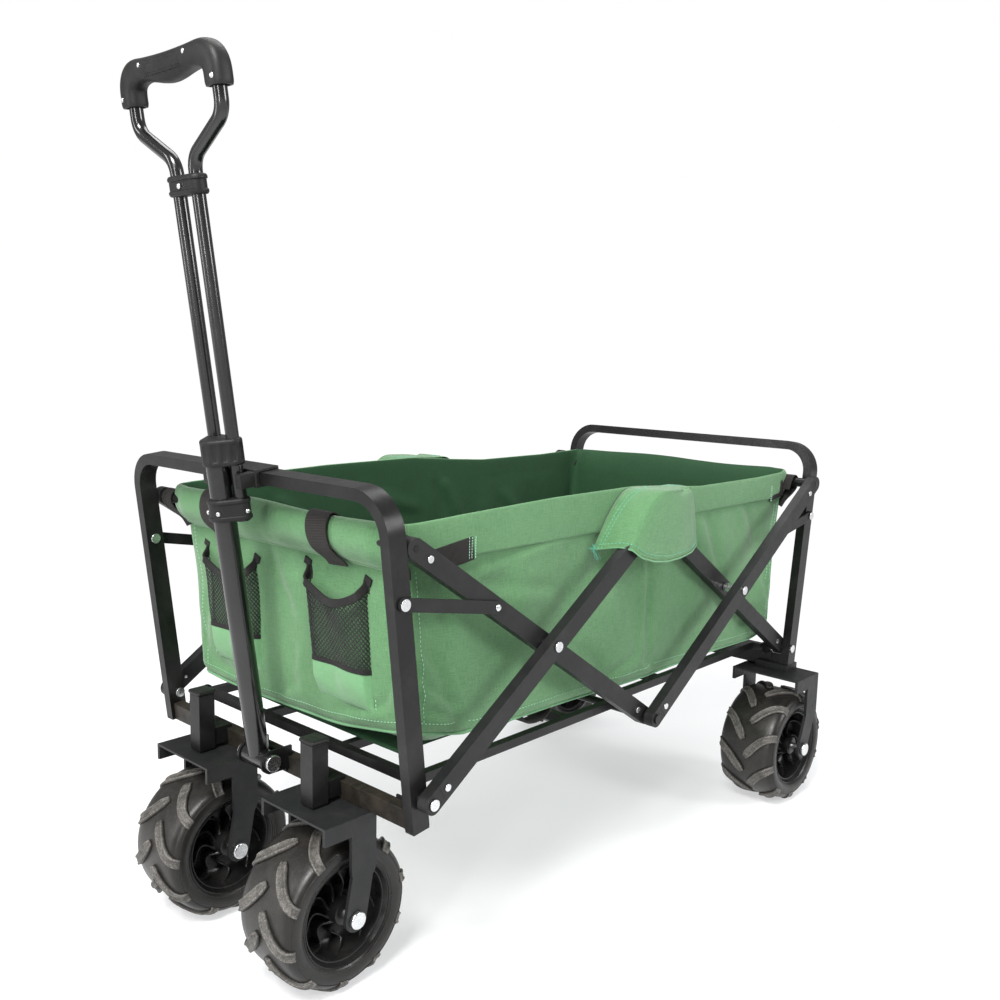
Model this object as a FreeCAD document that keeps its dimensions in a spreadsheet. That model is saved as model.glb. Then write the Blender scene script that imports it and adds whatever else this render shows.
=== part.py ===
import FreeCAD, Part
import math
import os

# Folding camp wagon, open.  Millimetres.  +Z up, ground at z = 0, X along the
# wagon, pull handle at -X.  Both end frames lean outwards towards the top.
# Layers across the width, counted outwards from the middle:
#   bag  |  layer 0: rear inner bars  |  layer 1: uprights and front inner bars
#        |  link layer  |  layer 2: outer bars
V3 = FreeCAD.Vector
ROT = FreeCAD.Rotation
PLC = FreeCAD.Placement
YAX = V3(0, 1, 0)
doc = FreeCAD.newDocument("camp_wagon")
sheet = doc.addObject("Spreadsheet::Sheet", "Dims")

DIMS = [
    ("lean_angle", 6.843), ("frame_reach", 448), ("frame_half_width", 262), ("foot_height", 233),
    ("hoop_rise", 393.8), ("hoop_corner", 45), ("tube_depth", 25), ("tube_width", 15), ("tube_wall", 1.2),
    ("cross_depth", 15), ("cross_tall", 25), ("cross_span", 509),
    ("open_angle", 33.6), ("pivot_reach", 447.28), ("pivot_height", 269),
    ("arm_short", 258), ("arm_long", 279), ("arm_top", 275), ("insert_len", 17), ("plug_len", 20),
    ("layer_zero", 246), ("layer_one", 262), ("layer_two", 281),
    ("pin_radius", 4), ("pin_hole", 4.05), ("head_radius", 7), ("head_thick", 2.3),
    ("rivet_radius", 2.5), ("rivet_head", 4.5),
    ("link_reach", 480.6), ("link_height", 504.5), ("link_arm", 116), ("link_width", 16), ("link_thick", 3),
    ("hem_radius", 8), ("axle_bar_radius", 6),
    ("floor_height", 270), ("floor_bar", 12), ("floor_reach", 416), ("floor_tie", 125),
    ("wheel_radius", 100), ("wheel_wide", 104), ("rim_radius", 63), ("bolt_radius", 6), ("bolt_hole", 6.05),
    ("stem_reach", 490), ("stem_side", 124), ("trail", 14), ("fork_long", 78), ("fork_wide", 126),
    ("fork_top", 229), ("fork_tall", 22), ("fork_plate", 3), ("arm_wide", 32), ("arm_thick", 5),
    ("stem_radius", 8), ("stem_bore", 8.06), ("post_side", 24),
    ("rear_wheel_reach", 430), ("rear_wheel_side", 248),
    ("hinge_reach", 484), ("hinge_height", 253), ("handle_lean", 8.12), ("main_tube_radius", 14),
    ("rod_radius", 8), ("rod_side", 19.5), ("rod_back", 13.5), ("rod_start", 318), ("rod_bore", 6.9), ("yoke_at", 711),
    ("grip_at", 835), ("loop_half", 88),
    ("bag_half_long", 440), ("bag_half_long_low", 424), ("bag_half_wide", 235), ("bag_low", 280), ("bag_high", 584), ("bag_wall", 2.5),
]
for i, (name, value) in enumerate(DIMS):
    cell = "A%d" % (i + 1)
    sheet.set(cell, str(value))
    sheet.setAlias(cell, name)
doc.recompute()


def D(name):
    return float(sheet.get(name))


LEAN = D("lean_angle")
TH = D("open_angle")
C, S = math.cos(math.radians(TH)), math.sin(math.radians(TH))
YF = D("frame_half_width")
L0, L1, L2 = D("layer_zero"), D("layer_one"), D("layer_two")
T2 = D("tube_width") / 2.0
final = []


def own(obj, label):
    """Mark a document object as a finished sub-part."""
    obj.Label = label
    final.append(obj)
    return obj


n_obj = [0]


def uid(stem):
    n_obj[0] += 1
    return "%s_%03d" % (stem, n_obj[0])


def turn(deg):
    """Rotation about Y that lifts +X towards +Z by deg."""
    return ROT(YAX, -deg)


def box(lx, ly, lz, at, rot=None, centre=(0.5, 0.5, 0.5)):
    """Box whose sizes are sheet expressions; at is where its centre fraction sits."""
    o = doc.addObject("Part::Box", uid("Block"))
    for prop, e in (("Length", lx), ("Width", ly), ("Height", lz)):
        o.setExpression(prop, e)
    doc.recompute([o])
    r = rot or ROT()
    off = r.multVec(V3(o.Length.Value * centre[0], o.Width.Value * centre[1], o.Height.Value * centre[2]))
    o.Placement = PLC(V3(*at) - off, r)
    return o


def cyl(r, h, at, axis=(0, 1, 0)):
    """Cylinder with sheet-bound radius and height, centred on at."""
    o = doc.addObject("Part::Cylinder", uid("Round"))
    o.setExpression("Radius", r)
    o.setExpression("Height", h)
    doc.recompute([o])
    d = V3(*axis)
    d.normalize()
    o.Placement = PLC(V3(*at) - d * (o.Height.Value / 2.0), ROT(V3(0, 0, 1), d))
    return o


def cyl_y(r, y0, y1, x, z):
    """Cylinder along Y between two stations."""
    o = doc.addObject("Part::Cylinder", uid("Pin"))
    o.setExpression("Radius", r)
    o.Height = abs(y1 - y0)
    o.Placement = PLC(V3(x, min(y0, y1), z), ROT(V3(1, 0, 0), -90))
    return o


def fuse(*objs):
    objs = [o for o in objs]
    if len(objs) == 1:
        return objs[0]
    o = doc.addObject("Part::MultiFuse", uid("Joined"))
    o.Shapes = objs
    o.Refine = True
    return o


def cut(base, *tools):
    tool = tools[0] if len(tools) == 1 else fuse(*tools)
    o = doc.addObject("Part::Cut", uid("Cut"))
    o.Base = base
    o.Tool = tool
    return o


def group(label, *objs):
    """Several like solids that share one name."""
    o = doc.addObject("Part::Compound", uid("Set"))
    o.Links = list(objs)
    return own(o, label)


def plane(body, role):
    for f in body.Origin.OriginFeatures:
        if f.Role == role:
            return f


def sketch(body, role, name, offset=None):
    s = body.newObject("Sketcher::SketchObject", name)
    s.AttachmentSupport = [(plane(body, role), "")]
    s.MapMode = "FlatFace"
    if offset is not None:
        s.AttachmentOffset = offset
    return s


def poly(s, pts, close=True):
    """Closed chain of lines with coincident corners."""
    n = len(pts)
    first = s.GeometryCount
    for i in range(n if close else n - 1):
        a, b = pts[i], pts[(i + 1) % n]
        s.addGeometry(Part.LineSegment(V3(a[0], a[1], 0), V3(b[0], b[1], 0)), False)
    import Sketcher
    for i in range(n if close else n - 2):
        s.addConstraint(Sketcher.Constraint("Coincident", first + i, 2, first + (i + 1) % n, 1))
    return first


def rect(s, w_expr, h_expr, cx=0.0, cy=0.0):
    """Rectangle centred on (cx, cy) with sheet-bound width and height."""
    import Sketcher
    w = s.Document.Dims
    g = poly(s, [(cx - 5, cy - 5), (cx + 5, cy - 5), (cx + 5, cy + 5), (cx - 5, cy + 5)])
    K = Sketcher.Constraint
    s.addConstraint(K("Horizontal", g))
    s.addConstraint(K("Vertical", g + 1))
    s.addConstraint(K("Horizontal", g + 2))
    s.addConstraint(K("Vertical", g + 3))
    i = s.addConstraint(K("DistanceX", g, 1, g, 2, 10.0))
    s.setExpression("Constraints[%d]" % i, w_expr)
    j = s.addConstraint(K("DistanceY", g + 1, 1, g + 1, 2, 10.0))
    s.setExpression("Constraints[%d]" % j, h_expr)
    k = s.addConstraint(K("DistanceX", -1, 1, g, 1, cx - 5))
    s.setExpression("Constraints[%d]" % k, "%f - (%s) / 2" % (cx, w_expr))
    m = s.addConstraint(K("DistanceY", -1, 1, g, 1, cy - 5))
    s.setExpression("Constraints[%d]" % m, "%f - (%s) / 2" % (cy, h_expr))


# ---------------------------------------------------------------- end frames
def hoop(label, side):
    """Inverted-U rectangular tube swept along its centreline, standing on its two feet."""
    import Sketcher
    b = doc.addObject("PartDesign::Body", uid("Hoop"))
    path = sketch(b, "YZ_Plane", uid("HoopPath"))
    h, w, r = D("hoop_rise"), D("frame_half_width"), D("hoop_corner")
    K = Sketcher.Constraint
    a0 = math.pi / 2
    path.addGeometry(Part.LineSegment(V3(-w, 0, 0), V3(-w, h - r, 0)), False)
    path.addGeometry(Part.ArcOfCircle(Part.Circle(V3(-w + r, h - r, 0), V3(0, 0, 1), r), a0, 2 * a0), False)
    path.addGeometry(Part.LineSegment(V3(-w + r, h, 0), V3(w - r, h, 0)), False)
    path.addGeometry(Part.ArcOfCircle(Part.Circle(V3(w - r, h - r, 0), V3(0, 0, 1), r), 0, a0), False)
    path.addGeometry(Part.LineSegment(V3(w, h - r, 0), V3(w, 0, 0)), False)
    path.addConstraint(K("Tangent", 0, 2, 1, 2))
    path.addConstraint(K("Tangent", 1, 1, 2, 1))
    path.addConstraint(K("Tangent", 2, 2, 3, 2))
    path.addConstraint(K("Tangent", 3, 1, 4, 1))
    path.addConstraint(K("Equal", 1, 3))
    path.addConstraint(K("Vertical", 0))
    path.addConstraint(K("Horizontal", 2))
    path.addConstraint(K("Vertical", 4))
    path.addConstraint(K("PointOnObject", 0, 1, -1))
    path.addConstraint(K("PointOnObject", 4, 2, -1))
    for g, p, sign in ((0, 1, "-"), (4, 2, "")):
        i = path.addConstraint(K("DistanceX", -1, 1, g, p, -w if sign else w))
        path.setExpression("Constraints[%d]" % i, sign + "Dims.frame_half_width")
    i = path.addConstraint(K("Radius", 1, r))
    path.setExpression("Constraints[%d]" % i, "Dims.hoop_corner")
    i = path.addConstraint(K("DistanceY", -1, 1, 2, 1, h))
    path.setExpression("Constraints[%d]" % i, "Dims.hoop_rise")
    prof = sketch(b, "XY_Plane", uid("HoopSection"))
    rect(prof, "Dims.tube_depth", "Dims.tube_width", 0.0, -w)
    rect(prof, "Dims.tube_depth - 2 * Dims.tube_wall", "Dims.tube_width - 2 * Dims.tube_wall", 0.0, -w)
    doc.recompute()
    pipe = b.newObject("PartDesign::AdditivePipe", uid("HoopSweep"))
    pipe.Profile = prof
    pipe.Spine = (path, ["Edge%d" % (k + 1) for k in range(5)])
    doc.recompute()
    b.Placement = PLC(V3(side * D("frame_reach"), 0, D("foot_height")), ROT(YAX, side * LEAN))
    # pivot and link holes
    hx, hz = side * D("pivot_reach"), D("pivot_height")
    lx, lz = side * D("link_reach"), D("link_height")
    holes = []
    for sg in (1, -1):
        holes.append(cyl_y("Dims.pin_hole", sg * 250, sg * 272, hx, hz))
        holes.append(cyl_y("Dims.pin_hole", sg * 250, sg * 272, lx, lz))
    return own(cut(b, *holes), label)


def frame_point(side, up, out=0.0, y=0.0):
    """Point on the leaning end-frame plane: up along the upright, out away from the wagon."""
    a = math.radians(LEAN)
    x = D("frame_reach") + up * math.sin(a) + out * math.cos(a)
    z = D("foot_height") + up * math.cos(a) - out * math.sin(a)
    return (side * x, y, z)


def lean_rot(side):
    return ROT(YAX, side * LEAN)


for side, who in ((-1, "front"), (1, "rear")):
    hoop(who + "_hoop", side)
    r = lean_rot(side)
    outer = box("Dims.cross_depth", "Dims.cross_span", "Dims.cross_tall", frame_point(side, 9.5), r)
    inner = box("Dims.cross_depth - 2 * Dims.tube_wall", "Dims.cross_span + 2", "Dims.cross_tall - 2 * Dims.tube_wall", frame_point(side, 9.5), r)
    own(cut(outer, inner), who + "_crossbar")
    plugs = []
    for sg in (1, -1):
        cap = box("Dims.tube_depth", "Dims.tube_width", "3", frame_point(side, -1.5, 0, sg * YF), r)
        core = box("Dims.tube_depth - 2 * Dims.tube_wall - 0.1", "Dims.tube_width - 2 * Dims.tube_wall - 0.1", "16", frame_point(side, 7.0, 0, sg * YF), r)
        plugs.append(fuse(cap, core))
    if side < 0:
        group(who + "_feet", *plugs)
    else:
        group(who + "_feet", *plugs)


# ---------------------------------------------------------------- pins
def shoulder_pin(sg, x, z, y_in, y_out, gaps=()):
    """Headed pin along Y from an inner head to an outer head, with spacer collars."""
    parts = [cyl_y("Dims.pin_radius", sg * (y_in - 0.5), sg * (y_out + 0.8), x, z)]
    parts.append(cyl_y("Dims.head_radius", sg * (y_in - D("head_thick")), sg * y_in, x, z))
    parts.append(cyl_y("Dims.head_radius", sg * (y_out + 0.3), sg * (y_out + 0.3 + D("head_thick")), x, z))
    for a, b in gaps:
        parts.append(cyl_y("Dims.head_radius", sg * a, sg * b, x, z))
    return fuse(*parts)


PX, PZ = D("pivot_reach"), D("pivot_height")
P1 = (-PX + D("arm_short") * C, PZ + D("arm_short") * S)
P2 = (-P1[0], P1[1])
BC = (0.0, P1[1] + D("arm_long") * S)
AD = (0.0, P1[1] - D("arm_long") * S)
AT = (P1[0] - D("arm_top") * C, P1[1] + D("arm_top") * S)
DT = (-AT[0], AT[1])
IN1, OUT1 = L1 - T2, L1 + T2
IN2, OUT2 = L2 - T2, L2 + T2
IN0, OUT0 = L0 - T2, L0 + T2
LNK = D("link_thick")

group("front_pivot_pins", *[shoulder_pin(sg, -PX, PZ, IN1, OUT2, ((OUT1, IN2 - 0.3),)) for sg in (1, -1)])
group("rear_pivot_pins", *[shoulder_pin(sg, PX, PZ, IN0 - 0.3, OUT1, ((OUT0 + 0.3, IN1),)) for sg in (1, -1)])


def link_pin(sg, x, z):
    a = cyl_y("Dims.pin_radius", sg * (IN1 - 0.5), sg * (OUT1 + LNK + 1.0), x, z)
    b = cyl_y("Dims.head_radius", sg * (IN1 - D("head_thick")), sg * IN1, x, z)
    c = cyl_y("Dims.head_radius", sg * (OUT1 + LNK + 0.8), sg * (OUT1 + LNK + 2.8), x, z)
    return fuse(a, b, c)


group("front_link_pins", *[link_pin(sg, -D("link_reach"), D("link_height")) for sg in (1, -1)])
group("rear_link_pins", *[link_pin(sg, D("link_reach"), D("link_height")) for sg in (1, -1)])


# ---------------------------------------------------------------- scissor bars
def bar_set(stem, p, q, layer, holes=(), head=1.4):
    """Two rectangular tubes (left and right) from p to q with plastic end inserts.

    p, q are (x, z) pivot centres at the two ends; holes are distances from p.
    """
    length = math.hypot(q[0] - p[0], q[1] - p[1])
    ang = math.degrees(math.atan2(q[1] - p[1], q[0] - p[0]))
    r = turn(ang)
    ux, uz = (q[0] - p[0]) / length, (q[1] - p[1]) / length
    il = D("insert_len")
    tubes, inserts, fixers = [], [], []
    for sg in (1, -1):
        y = sg * layer
        mid = (p[0] + ux * length / 2, y, p[1] + uz * length / 2)
        outer = box("%f - 2 * Dims.insert_len" % length, "Dims.tube_width", "Dims.tube_depth", mid, r)
        inner = box("%f" % length, "Dims.tube_width - 2 * Dims.tube_wall", "Dims.tube_depth - 2 * Dims.tube_wall", mid, r)
        tools = [inner]
        for d in holes:
            tools.append(cyl_y("Dims.pin_hole", y - 9, y + 9, p[0] + ux * d, p[1] + uz * d))
        fix = [il + 9.0, length - il - 9.0]
        for d in fix:
            tools.append(cyl_y("Dims.rivet_radius + 0.02", y - 9, y + 9, p[0] + ux * d, p[1] + uz * d))
        tubes.append(cut(outer, *tools))
        for end, (c, sgn) in enumerate(((p, 1), (q, -1))):
            e0 = cyl("Dims.tube_depth / 2", "Dims.tube_width", (c[0], y, c[1]))
            e1 = box("Dims.insert_len - 0.05", "Dims.tube_width", "Dims.tube_depth", (c[0] + sgn * ux * (il - 0.05) / 2, y, c[1] + sgn * uz * (il - 0.05) / 2), r)
            pl = D("plug_len")
            e2 = box("Dims.plug_len", "Dims.tube_width - 2 * Dims.tube_wall - 0.1", "Dims.tube_depth - 2 * Dims.tube_wall - 0.1",
                     (c[0] + sgn * ux * (il + pl / 2 - 1), y, c[1] + sgn * uz * (il + pl / 2 - 1)), r)
            d = fix[end]
            inserts.append(cut(fuse(e0, e1, e2), cyl_y("Dims.pin_hole", y - 9, y + 9, c[0], c[1]),
                               cyl_y("Dims.rivet_radius + 0.02", y - 9, y + 9, p[0] + ux * d, p[1] + uz * d)))
            # fixing rivet with two low heads
            fx, fz = p[0] + ux * d, p[1] + uz * d
            h = T2
            fixers.append(fuse(cyl_y("Dims.rivet_radius", y - h - 0.2, y + h + 0.2, fx, fz),
                               cyl_y("Dims.rivet_head", y + sg * h, y + sg * (h + head), fx, fz)))
    group(stem + "_bars", *tubes)
    group(stem + "_bar_inserts", *inserts)
    return fixers


A_LEN = D("arm_top") + D("arm_long")
fix_b = bar_set("outer_front", (-PX, PZ), BC, L2, holes=(D("arm_short"),))
fix_a = bar_set("inner_front", AT, AD, L1, holes=(D("arm_top"),))
fix_c = bar_set("inner_rear", BC, (PX, PZ), L0, head=0.6)
fix_d = bar_set("outer_rear", AD, DT, L2, holes=())

# crossing pins: front crossing and top centre ride on the outer front bars
cross = [shoulder_pin(sg, P1[0], P1[1], IN1 - 0.3, OUT2, ((OUT1 + 0.3, IN2),)) for sg in (1, -1)]
topc = [shoulder_pin(sg, BC[0], BC[1], IN0 - 0.3, OUT2, ((OUT0 + 0.3, IN2),)) for sg in (1, -1)]
group("outer_front_rivets", *(cross + topc + fix_b))
group("inner_front_rivets", *fix_a)
group("inner_rear_rivets", *fix_c)
# rear crossing rivet sits in the outer rear bar and reaches towards the inner bar
rc = []
for sg in (1, -1):
    rc.append(fuse(cyl_y("Dims.head_radius", sg * OUT2, sg * (OUT2 + D("head_thick")), P2[0], P2[1]),
                   cyl_y("Dims.rivet_radius", sg * OUT2, sg * (OUT2 + 0.3), P2[0], P2[1])))
    rc.append(cyl_y("Dims.head_radius", sg * (OUT0 + 0.6), sg * IN2, P2[0], P2[1]))
group("outer_rear_rivets", *(rc + fix_d))

# centre axle across the wagon, its stubs are the lower centre pivots
ax = [cyl_y("Dims.axle_bar_radius", -(IN1 - 0.1), IN1 - 0.1, AD[0], AD[1])]
for sg in (1, -1):
    ax.append(cyl_y("Dims.pin_radius", sg * (IN1 - 1), sg * (OUT2 + 1.0), AD[0], AD[1]))
    ax.append(cyl_y("Dims.head_radius", sg * (OUT2 + 0.3), sg * (OUT2 + 2.6), AD[0], AD[1]))
    ax.append(cyl_y("Dims.head_radius", sg * OUT1, sg * (IN2 - 0.3), AD[0], AD[1]))
own(fuse(*ax), "centre_axle")


def hem(label, x, z, reach):
    tube = cut(cyl_y("Dims.hem_radius", -reach, reach, x, z), cyl_y("Dims.hem_radius - 1", -reach + 6, reach - 6, x, z))
    stubs = [cyl_y("Dims.pin_radius", sg * (reach - 1), sg * (reach + 15.5), x, z) for sg in (1, -1)]
    return own(fuse(tube, *stubs), label)


hem("front_hem_tube", AT[0], AT[1], IN1 - 0.1)
hem("rear_hem_tube", DT[0], DT[1], IN2 - 0.1)

# ---------------------------------------------------------------- short links
for side, who in ((-1, "front"), (1, "rear")):
    ux, uz = side * D("link_reach"), D("link_height")
    ex, ez = side * (-P1[0] + D("link_arm") * C), P1[1] + D("link_arm") * S
    ln = math.hypot(ex - ux, ez - uz)
    ang = math.degrees(math.atan2(ez - uz, ex - ux))
    pair = []
    for sg in (1, -1):
        y0, y1 = sg * (OUT1 + 0.4), sg * (OUT1 + 0.4 + LNK)
        ym = (y0 + y1) / 2
        strip = box("%f" % ln, "Dims.link_thick", "Dims.link_width", ((ux + ex) / 2, ym, (uz + ez) / 2), turn(ang))
        e1 = cyl("Dims.link_width / 2", "Dims.link_thick", (ux, ym, uz))
        e2 = cyl("Dims.link_width / 2", "Dims.link_thick", (ex, ym, ez))
        pair.append(cut(fuse(strip, e1, e2), cyl_y("Dims.pin_hole", ym - 4, ym + 4, ux, uz), cyl_y("Dims.rivet_radius", ym - 4, ym + 4, ex, ez)))
    group(who + "_links", *pair)

# ---------------------------------------------------------------- folding floor frame
FH = D("floor_height")
for side, who, ys in ((-1, "front", (222, 84)), (1, "rear", (206, 68))):
    fr = D("floor_reach")
    hinge = box("Dims.floor_bar", "456", "Dims.floor_bar", (side * fr, 0, FH))
    tie = box("Dims.floor_bar", "%f" % (2 * ys[0]), "Dims.floor_bar", (side * D("floor_tie"), 0, FH))
    outer, inner = [hinge, tie], []
    for y in ys:
        for sg in (1, -1):
            mx = side * (fr + 5) / 2
            outer.append(box("Dims.floor_reach - 5", "Dims.floor_bar", "Dims.floor_bar", (mx, sg * y, FH)))
            inner.append(box("Dims.floor_reach - 7", "Dims.floor_bar - 2.4", "Dims.floor_bar - 2.4", (mx, sg * y, FH)))
    pins = [cyl_y("Dims.pin_radius", sg * 227, sg * 234.6, side * fr, FH) for sg in (1, -1)]
    own(fuse(cut(fuse(*outer), *inner), *pins), "floor_frame_" + who)
    lugs = []
    for sg in (1, -1):
        face = side * (D("frame_reach") + 1.0 - D("cross_depth") / 2)
        arm = box("%f" % (abs(face) - fr), "4", "18", ((face + side * fr) / 2, sg * 231.5, FH - 3.5))
        eye = cyl("9", "4", (side * fr, sg * 231.5, FH))
        foot = box("3", "14", "14", (face + side * 1.2, sg * 227.5, FH - 17.5))
        lug = cut(fuse(arm, eye, foot), cyl_y("Dims.pin_hole", sg * 228, sg * 236, side * fr, FH))
        lugs.append(lug)
    group("floor_lugs_" + who, *lugs)


# ---------------------------------------------------------------- wheels
def tyre_body(label, x, y):
    """Blow-moulded balloon tyre, a U section open towards the rim."""
    b = doc.addObject("PartDesign::Body", uid("Tyre"))
    s = sketch(b, "XY_Plane", uid("TyreSection"))
    R, W, r = D("wheel_radius"), D("wheel_wide") / 2, D("rim_radius")
    t = 5.0
    outer = [(r + 0.0, -W + 9), (r + 12, -W + 1.5), (r + 22, -W), (R - 9, -W + 4), (R - 2.5, -W + 16), (R, -W + 30),
             (R, W - 30), (R - 2.5, W - 16), (R - 9, W - 4), (r + 22, W), (r + 12, W - 1.5), (r, W - 9)]
    inner = [(r, W - 15), (r + 13, W - 7), (r + 21, W - t), (R - 12, W - 10), (R - 8, W - 19), (R - 6, W - 30),
             (R - 6, -W + 30), (R - 8, -W + 19), (R - 12, -W + 10), (r + 21, -W + t), (r + 13, -W + 7), (r, -W + 15)]
    poly(s, outer + inner)
    rev = b.newObject("PartDesign::Revolution", uid("TyreTurn"))
    rev.Profile = s
    rev.ReferenceAxis = (s, ["V_Axis"])
    rev.Angle = 360
    b.Placement = PLC(V3(x, y, D("wheel_radius")), ROT())
    return own(b, label)


def rim_body(label, x, y, outside):
    """Moulded rim: barrel, hub and the block that the moulded ribs fill, set back in a shallow dish on both faces."""
    b = doc.addObject("PartDesign::Body", uid("Rim"))
    s = sketch(b, "XY_Plane", uid("RimSection"))
    W, r, h = D("wheel_wide") / 2, D("rim_radius"), D("bolt_hole")
    k = outside
    pts = [(h, -40), (17, -40), (17, -29), (r - 6, -31), (r - 5, -W + 10), (r - 0.1, -W + 10), (r - 0.1, W - 7), (r - 4, W - 7), (r - 6, 31),
           (19, 29), (19, 40), (h, 40)]
    pts = [(px, k * py) for px, py in pts]
    poly(s, pts)
    rev = b.newObject("PartDesign::Revolution", uid("RimTurn"))
    rev.Profile = s
    rev.ReferenceAxis = (s, ["V_Axis"])
    rev.Angle = 360
    b.Placement = PLC(V3(x, y, D("wheel_radius")), ROT())
    return own(b, label)


def fork(x, y, z_top, axle_x, side):
    """Channel plate over the tyre with two arms down to the axle."""
    plate = box("Dims.fork_long", "Dims.fork_wide", "Dims.fork_tall", (x, y, z_top), None, (0.5, 0.5, 1.0))
    hollow = box("Dims.fork_long + 4", "Dims.fork_wide - 2 * Dims.arm_thick", "Dims.fork_tall - Dims.fork_plate", (x, y, z_top - D("fork_plate")), None, (0.5, 0.5, 1.0))
    parts = []
    R = D("wheel_radius")
    for sg in (1, -1):
        ya = y + sg * (D("fork_wide") - D("arm_thick")) / 2
        knee = (x + D("fork_long") / 2 - 19, R + 62)
        ln = math.hypot(knee[0] - axle_x, knee[1] - R)
        ang = math.degrees(math.atan2(knee[0] - axle_x, knee[1] - R))
        rise = z_top - 8 - knee[1]
        upper = box("38", "Dims.arm_thick", "%f" % rise, (knee[0], ya, knee[1] + rise / 2))
        lower = box("Dims.arm_wide", "Dims.arm_thick", "%f" % ln, ((knee[0] + axle_x) / 2, ya, (knee[1] + R) / 2), ROT(YAX, ang))
        bend = cyl("18.9", "Dims.arm_thick", (knee[0], ya, knee[1]))
        boss = cyl("Dims.arm_wide / 2", "Dims.arm_thick", (axle_x, ya, R))
        parts += [upper, lower, bend, boss]
    shell = cut(plate, hollow)
    return cut(fuse(shell, *parts), cyl_y("Dims.bolt_hole", y - 70, y + 70, axle_x, R))


def axle_bolt(x, y):
    half = D("fork_wide") / 2
    shank = cyl_y("Dims.bolt_radius", y - half - 1, y + half + 7, x, D("wheel_radius"))
    head = cyl_y("11", y - half - 6, y - half, x, D("wheel_radius"))
    nut = cyl_y("10", y + half, y + half + 8, x, D("wheel_radius"))
    return fuse(shank, head, nut)


SR, SS, TR = D("stem_reach"), D("stem_side"), D("trail")
for sg, who in ((1, "left"), (-1, "right")):
    f = fork(-SR + 6, sg * SS, D("fork_top"), -SR + TR, 1)
    stem = cyl("Dims.stem_radius", "78", (-SR, sg * SS, D("fork_top") - 2 + 39), (0, 0, 1))
    own(fuse(f, stem), "caster_fork_" + who)
    own(axle_bolt(-SR + TR, sg * SS), "caster_bolt_" + who)
    tyre_body("front_tyre_" + who, -SR + TR, sg * SS)
    rim_body("front_rim_" + who, -SR + TR, sg * SS, sg)

posts, caps = [], []
for sg in (1, -1):
    low = box("46", "20", "24", (-SR + 17, sg * SS, 247))
    up = box("Dims.post_side", "Dims.post_side", "78", (-SR, sg * SS, 270.5))
    posts.append(cut(fuse(low, up), cyl("Dims.stem_bore", "78", (-SR, sg * SS, 270), (0, 0, 1))))
    cap = box("Dims.post_side + 4", "Dims.post_side + 4", "6", (-SR, sg * SS, 312.6))
    caps.append(cap)
group("caster_posts", *posts)
group("caster_post_caps", *caps)

RX, RY = D("rear_wheel_reach"), D("rear_wheel_side")
forks, bolts = [], []
for sg in (1, -1):
    f = fork(RX + 4, sg * RY, D("fork_top"), RX, 1)
    riser = box("40", "60", "12", (RX + 20, sg * 240, D("fork_top") + 5))
    forks.append(fuse(f, riser))
    bolts.append(axle_bolt(RX, sg * RY))
group("rear_forks", *forks)
group("rear_axle_bolts", *bolts)
for sg, who in ((1, "left"), (-1, "right")):
    tyre_body("rear_tyre_" + who, RX, sg * RY)
    rim_body("rear_rim_" + who, RX, sg * RY, sg)

# ---------------------------------------------------------------- pull handle
HX, HZ, HL = -D("hinge_reach"), D("hinge_height"), D("handle_lean")
HR = ROT(YAX, -HL)


def on_handle(up, back=0.0, y=0.0):
    """Point at a distance up the handle; back is towards the wagon."""
    v = HR.multVec(V3(back, y, up))
    return (HX + v.x, y, HZ + v.z)


up_dir = HR.multVec(V3(0, 0, 1))
UP = (up_dir.x, up_dir.y, up_dir.z)

knuckle = cyl("13", "46", (HX, 0, HZ))
main_o = cyl("Dims.main_tube_radius", "412", on_handle(212), UP)
main_i = cyl("Dims.main_tube_radius - 1.2", "392", on_handle(220), UP)
own(cut(fuse(knuckle, main_o), main_i, cyl_y("Dims.bolt_hole", -40, 40, HX, HZ)), "handle_main_tube")
ears = []
for sg in (1, -1):
    plate_ = box("36", "4", "30", (HX + 14, sg * 25.5, HZ))
    ears.append(fuse(plate_, cyl("15", "4", (HX, sg * 25.5, HZ))))
web = box("4", "55", "24", (HX + 24.0, 0, HZ - 6))
own(cut(fuse(ears[0], ears[1], web), cyl_y("Dims.bolt_hole", -40, 40, HX, HZ)), "handle_bracket")
own(fuse(cyl_y("Dims.bolt_radius", -29, 34, HX, HZ), cyl_y("11", -33.5, -27.6, HX, HZ), cyl_y("10", 27.6, 35.5, HX, HZ)), "handle_hinge_bolt")

# fixed upper collar: grips the main tube, the rods slide through it
uc = box("52", "64", "38", on_handle(404, 5.5), HR)
own(cut(uc, cyl("Dims.main_tube_radius + 0.05", "60", on_handle(404), UP),
        cyl("Dims.rod_radius + 0.08", "60", on_handle(404, D("rod_back"), D("rod_side")), UP),
        cyl("Dims.rod_radius + 0.08", "60", on_handle(404, D("rod_back"), -D("rod_side")), UP)), "handle_upper_collar")
# lower collar: grips the rods, slides on the main tube
lc = box("50", "62", "30", on_handle(331, 5.5), HR)
own(cut(lc, cyl("Dims.main_tube_radius + 0.08", "60", on_handle(331), UP),
        cyl("Dims.rod_radius + 0.05", "60", on_handle(331, D("rod_back"), D("rod_side")), UP),
        cyl("Dims.rod_radius + 0.05", "60", on_handle(331, D("rod_back"), -D("rod_side")), UP)), "handle_lower_collar")


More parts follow.
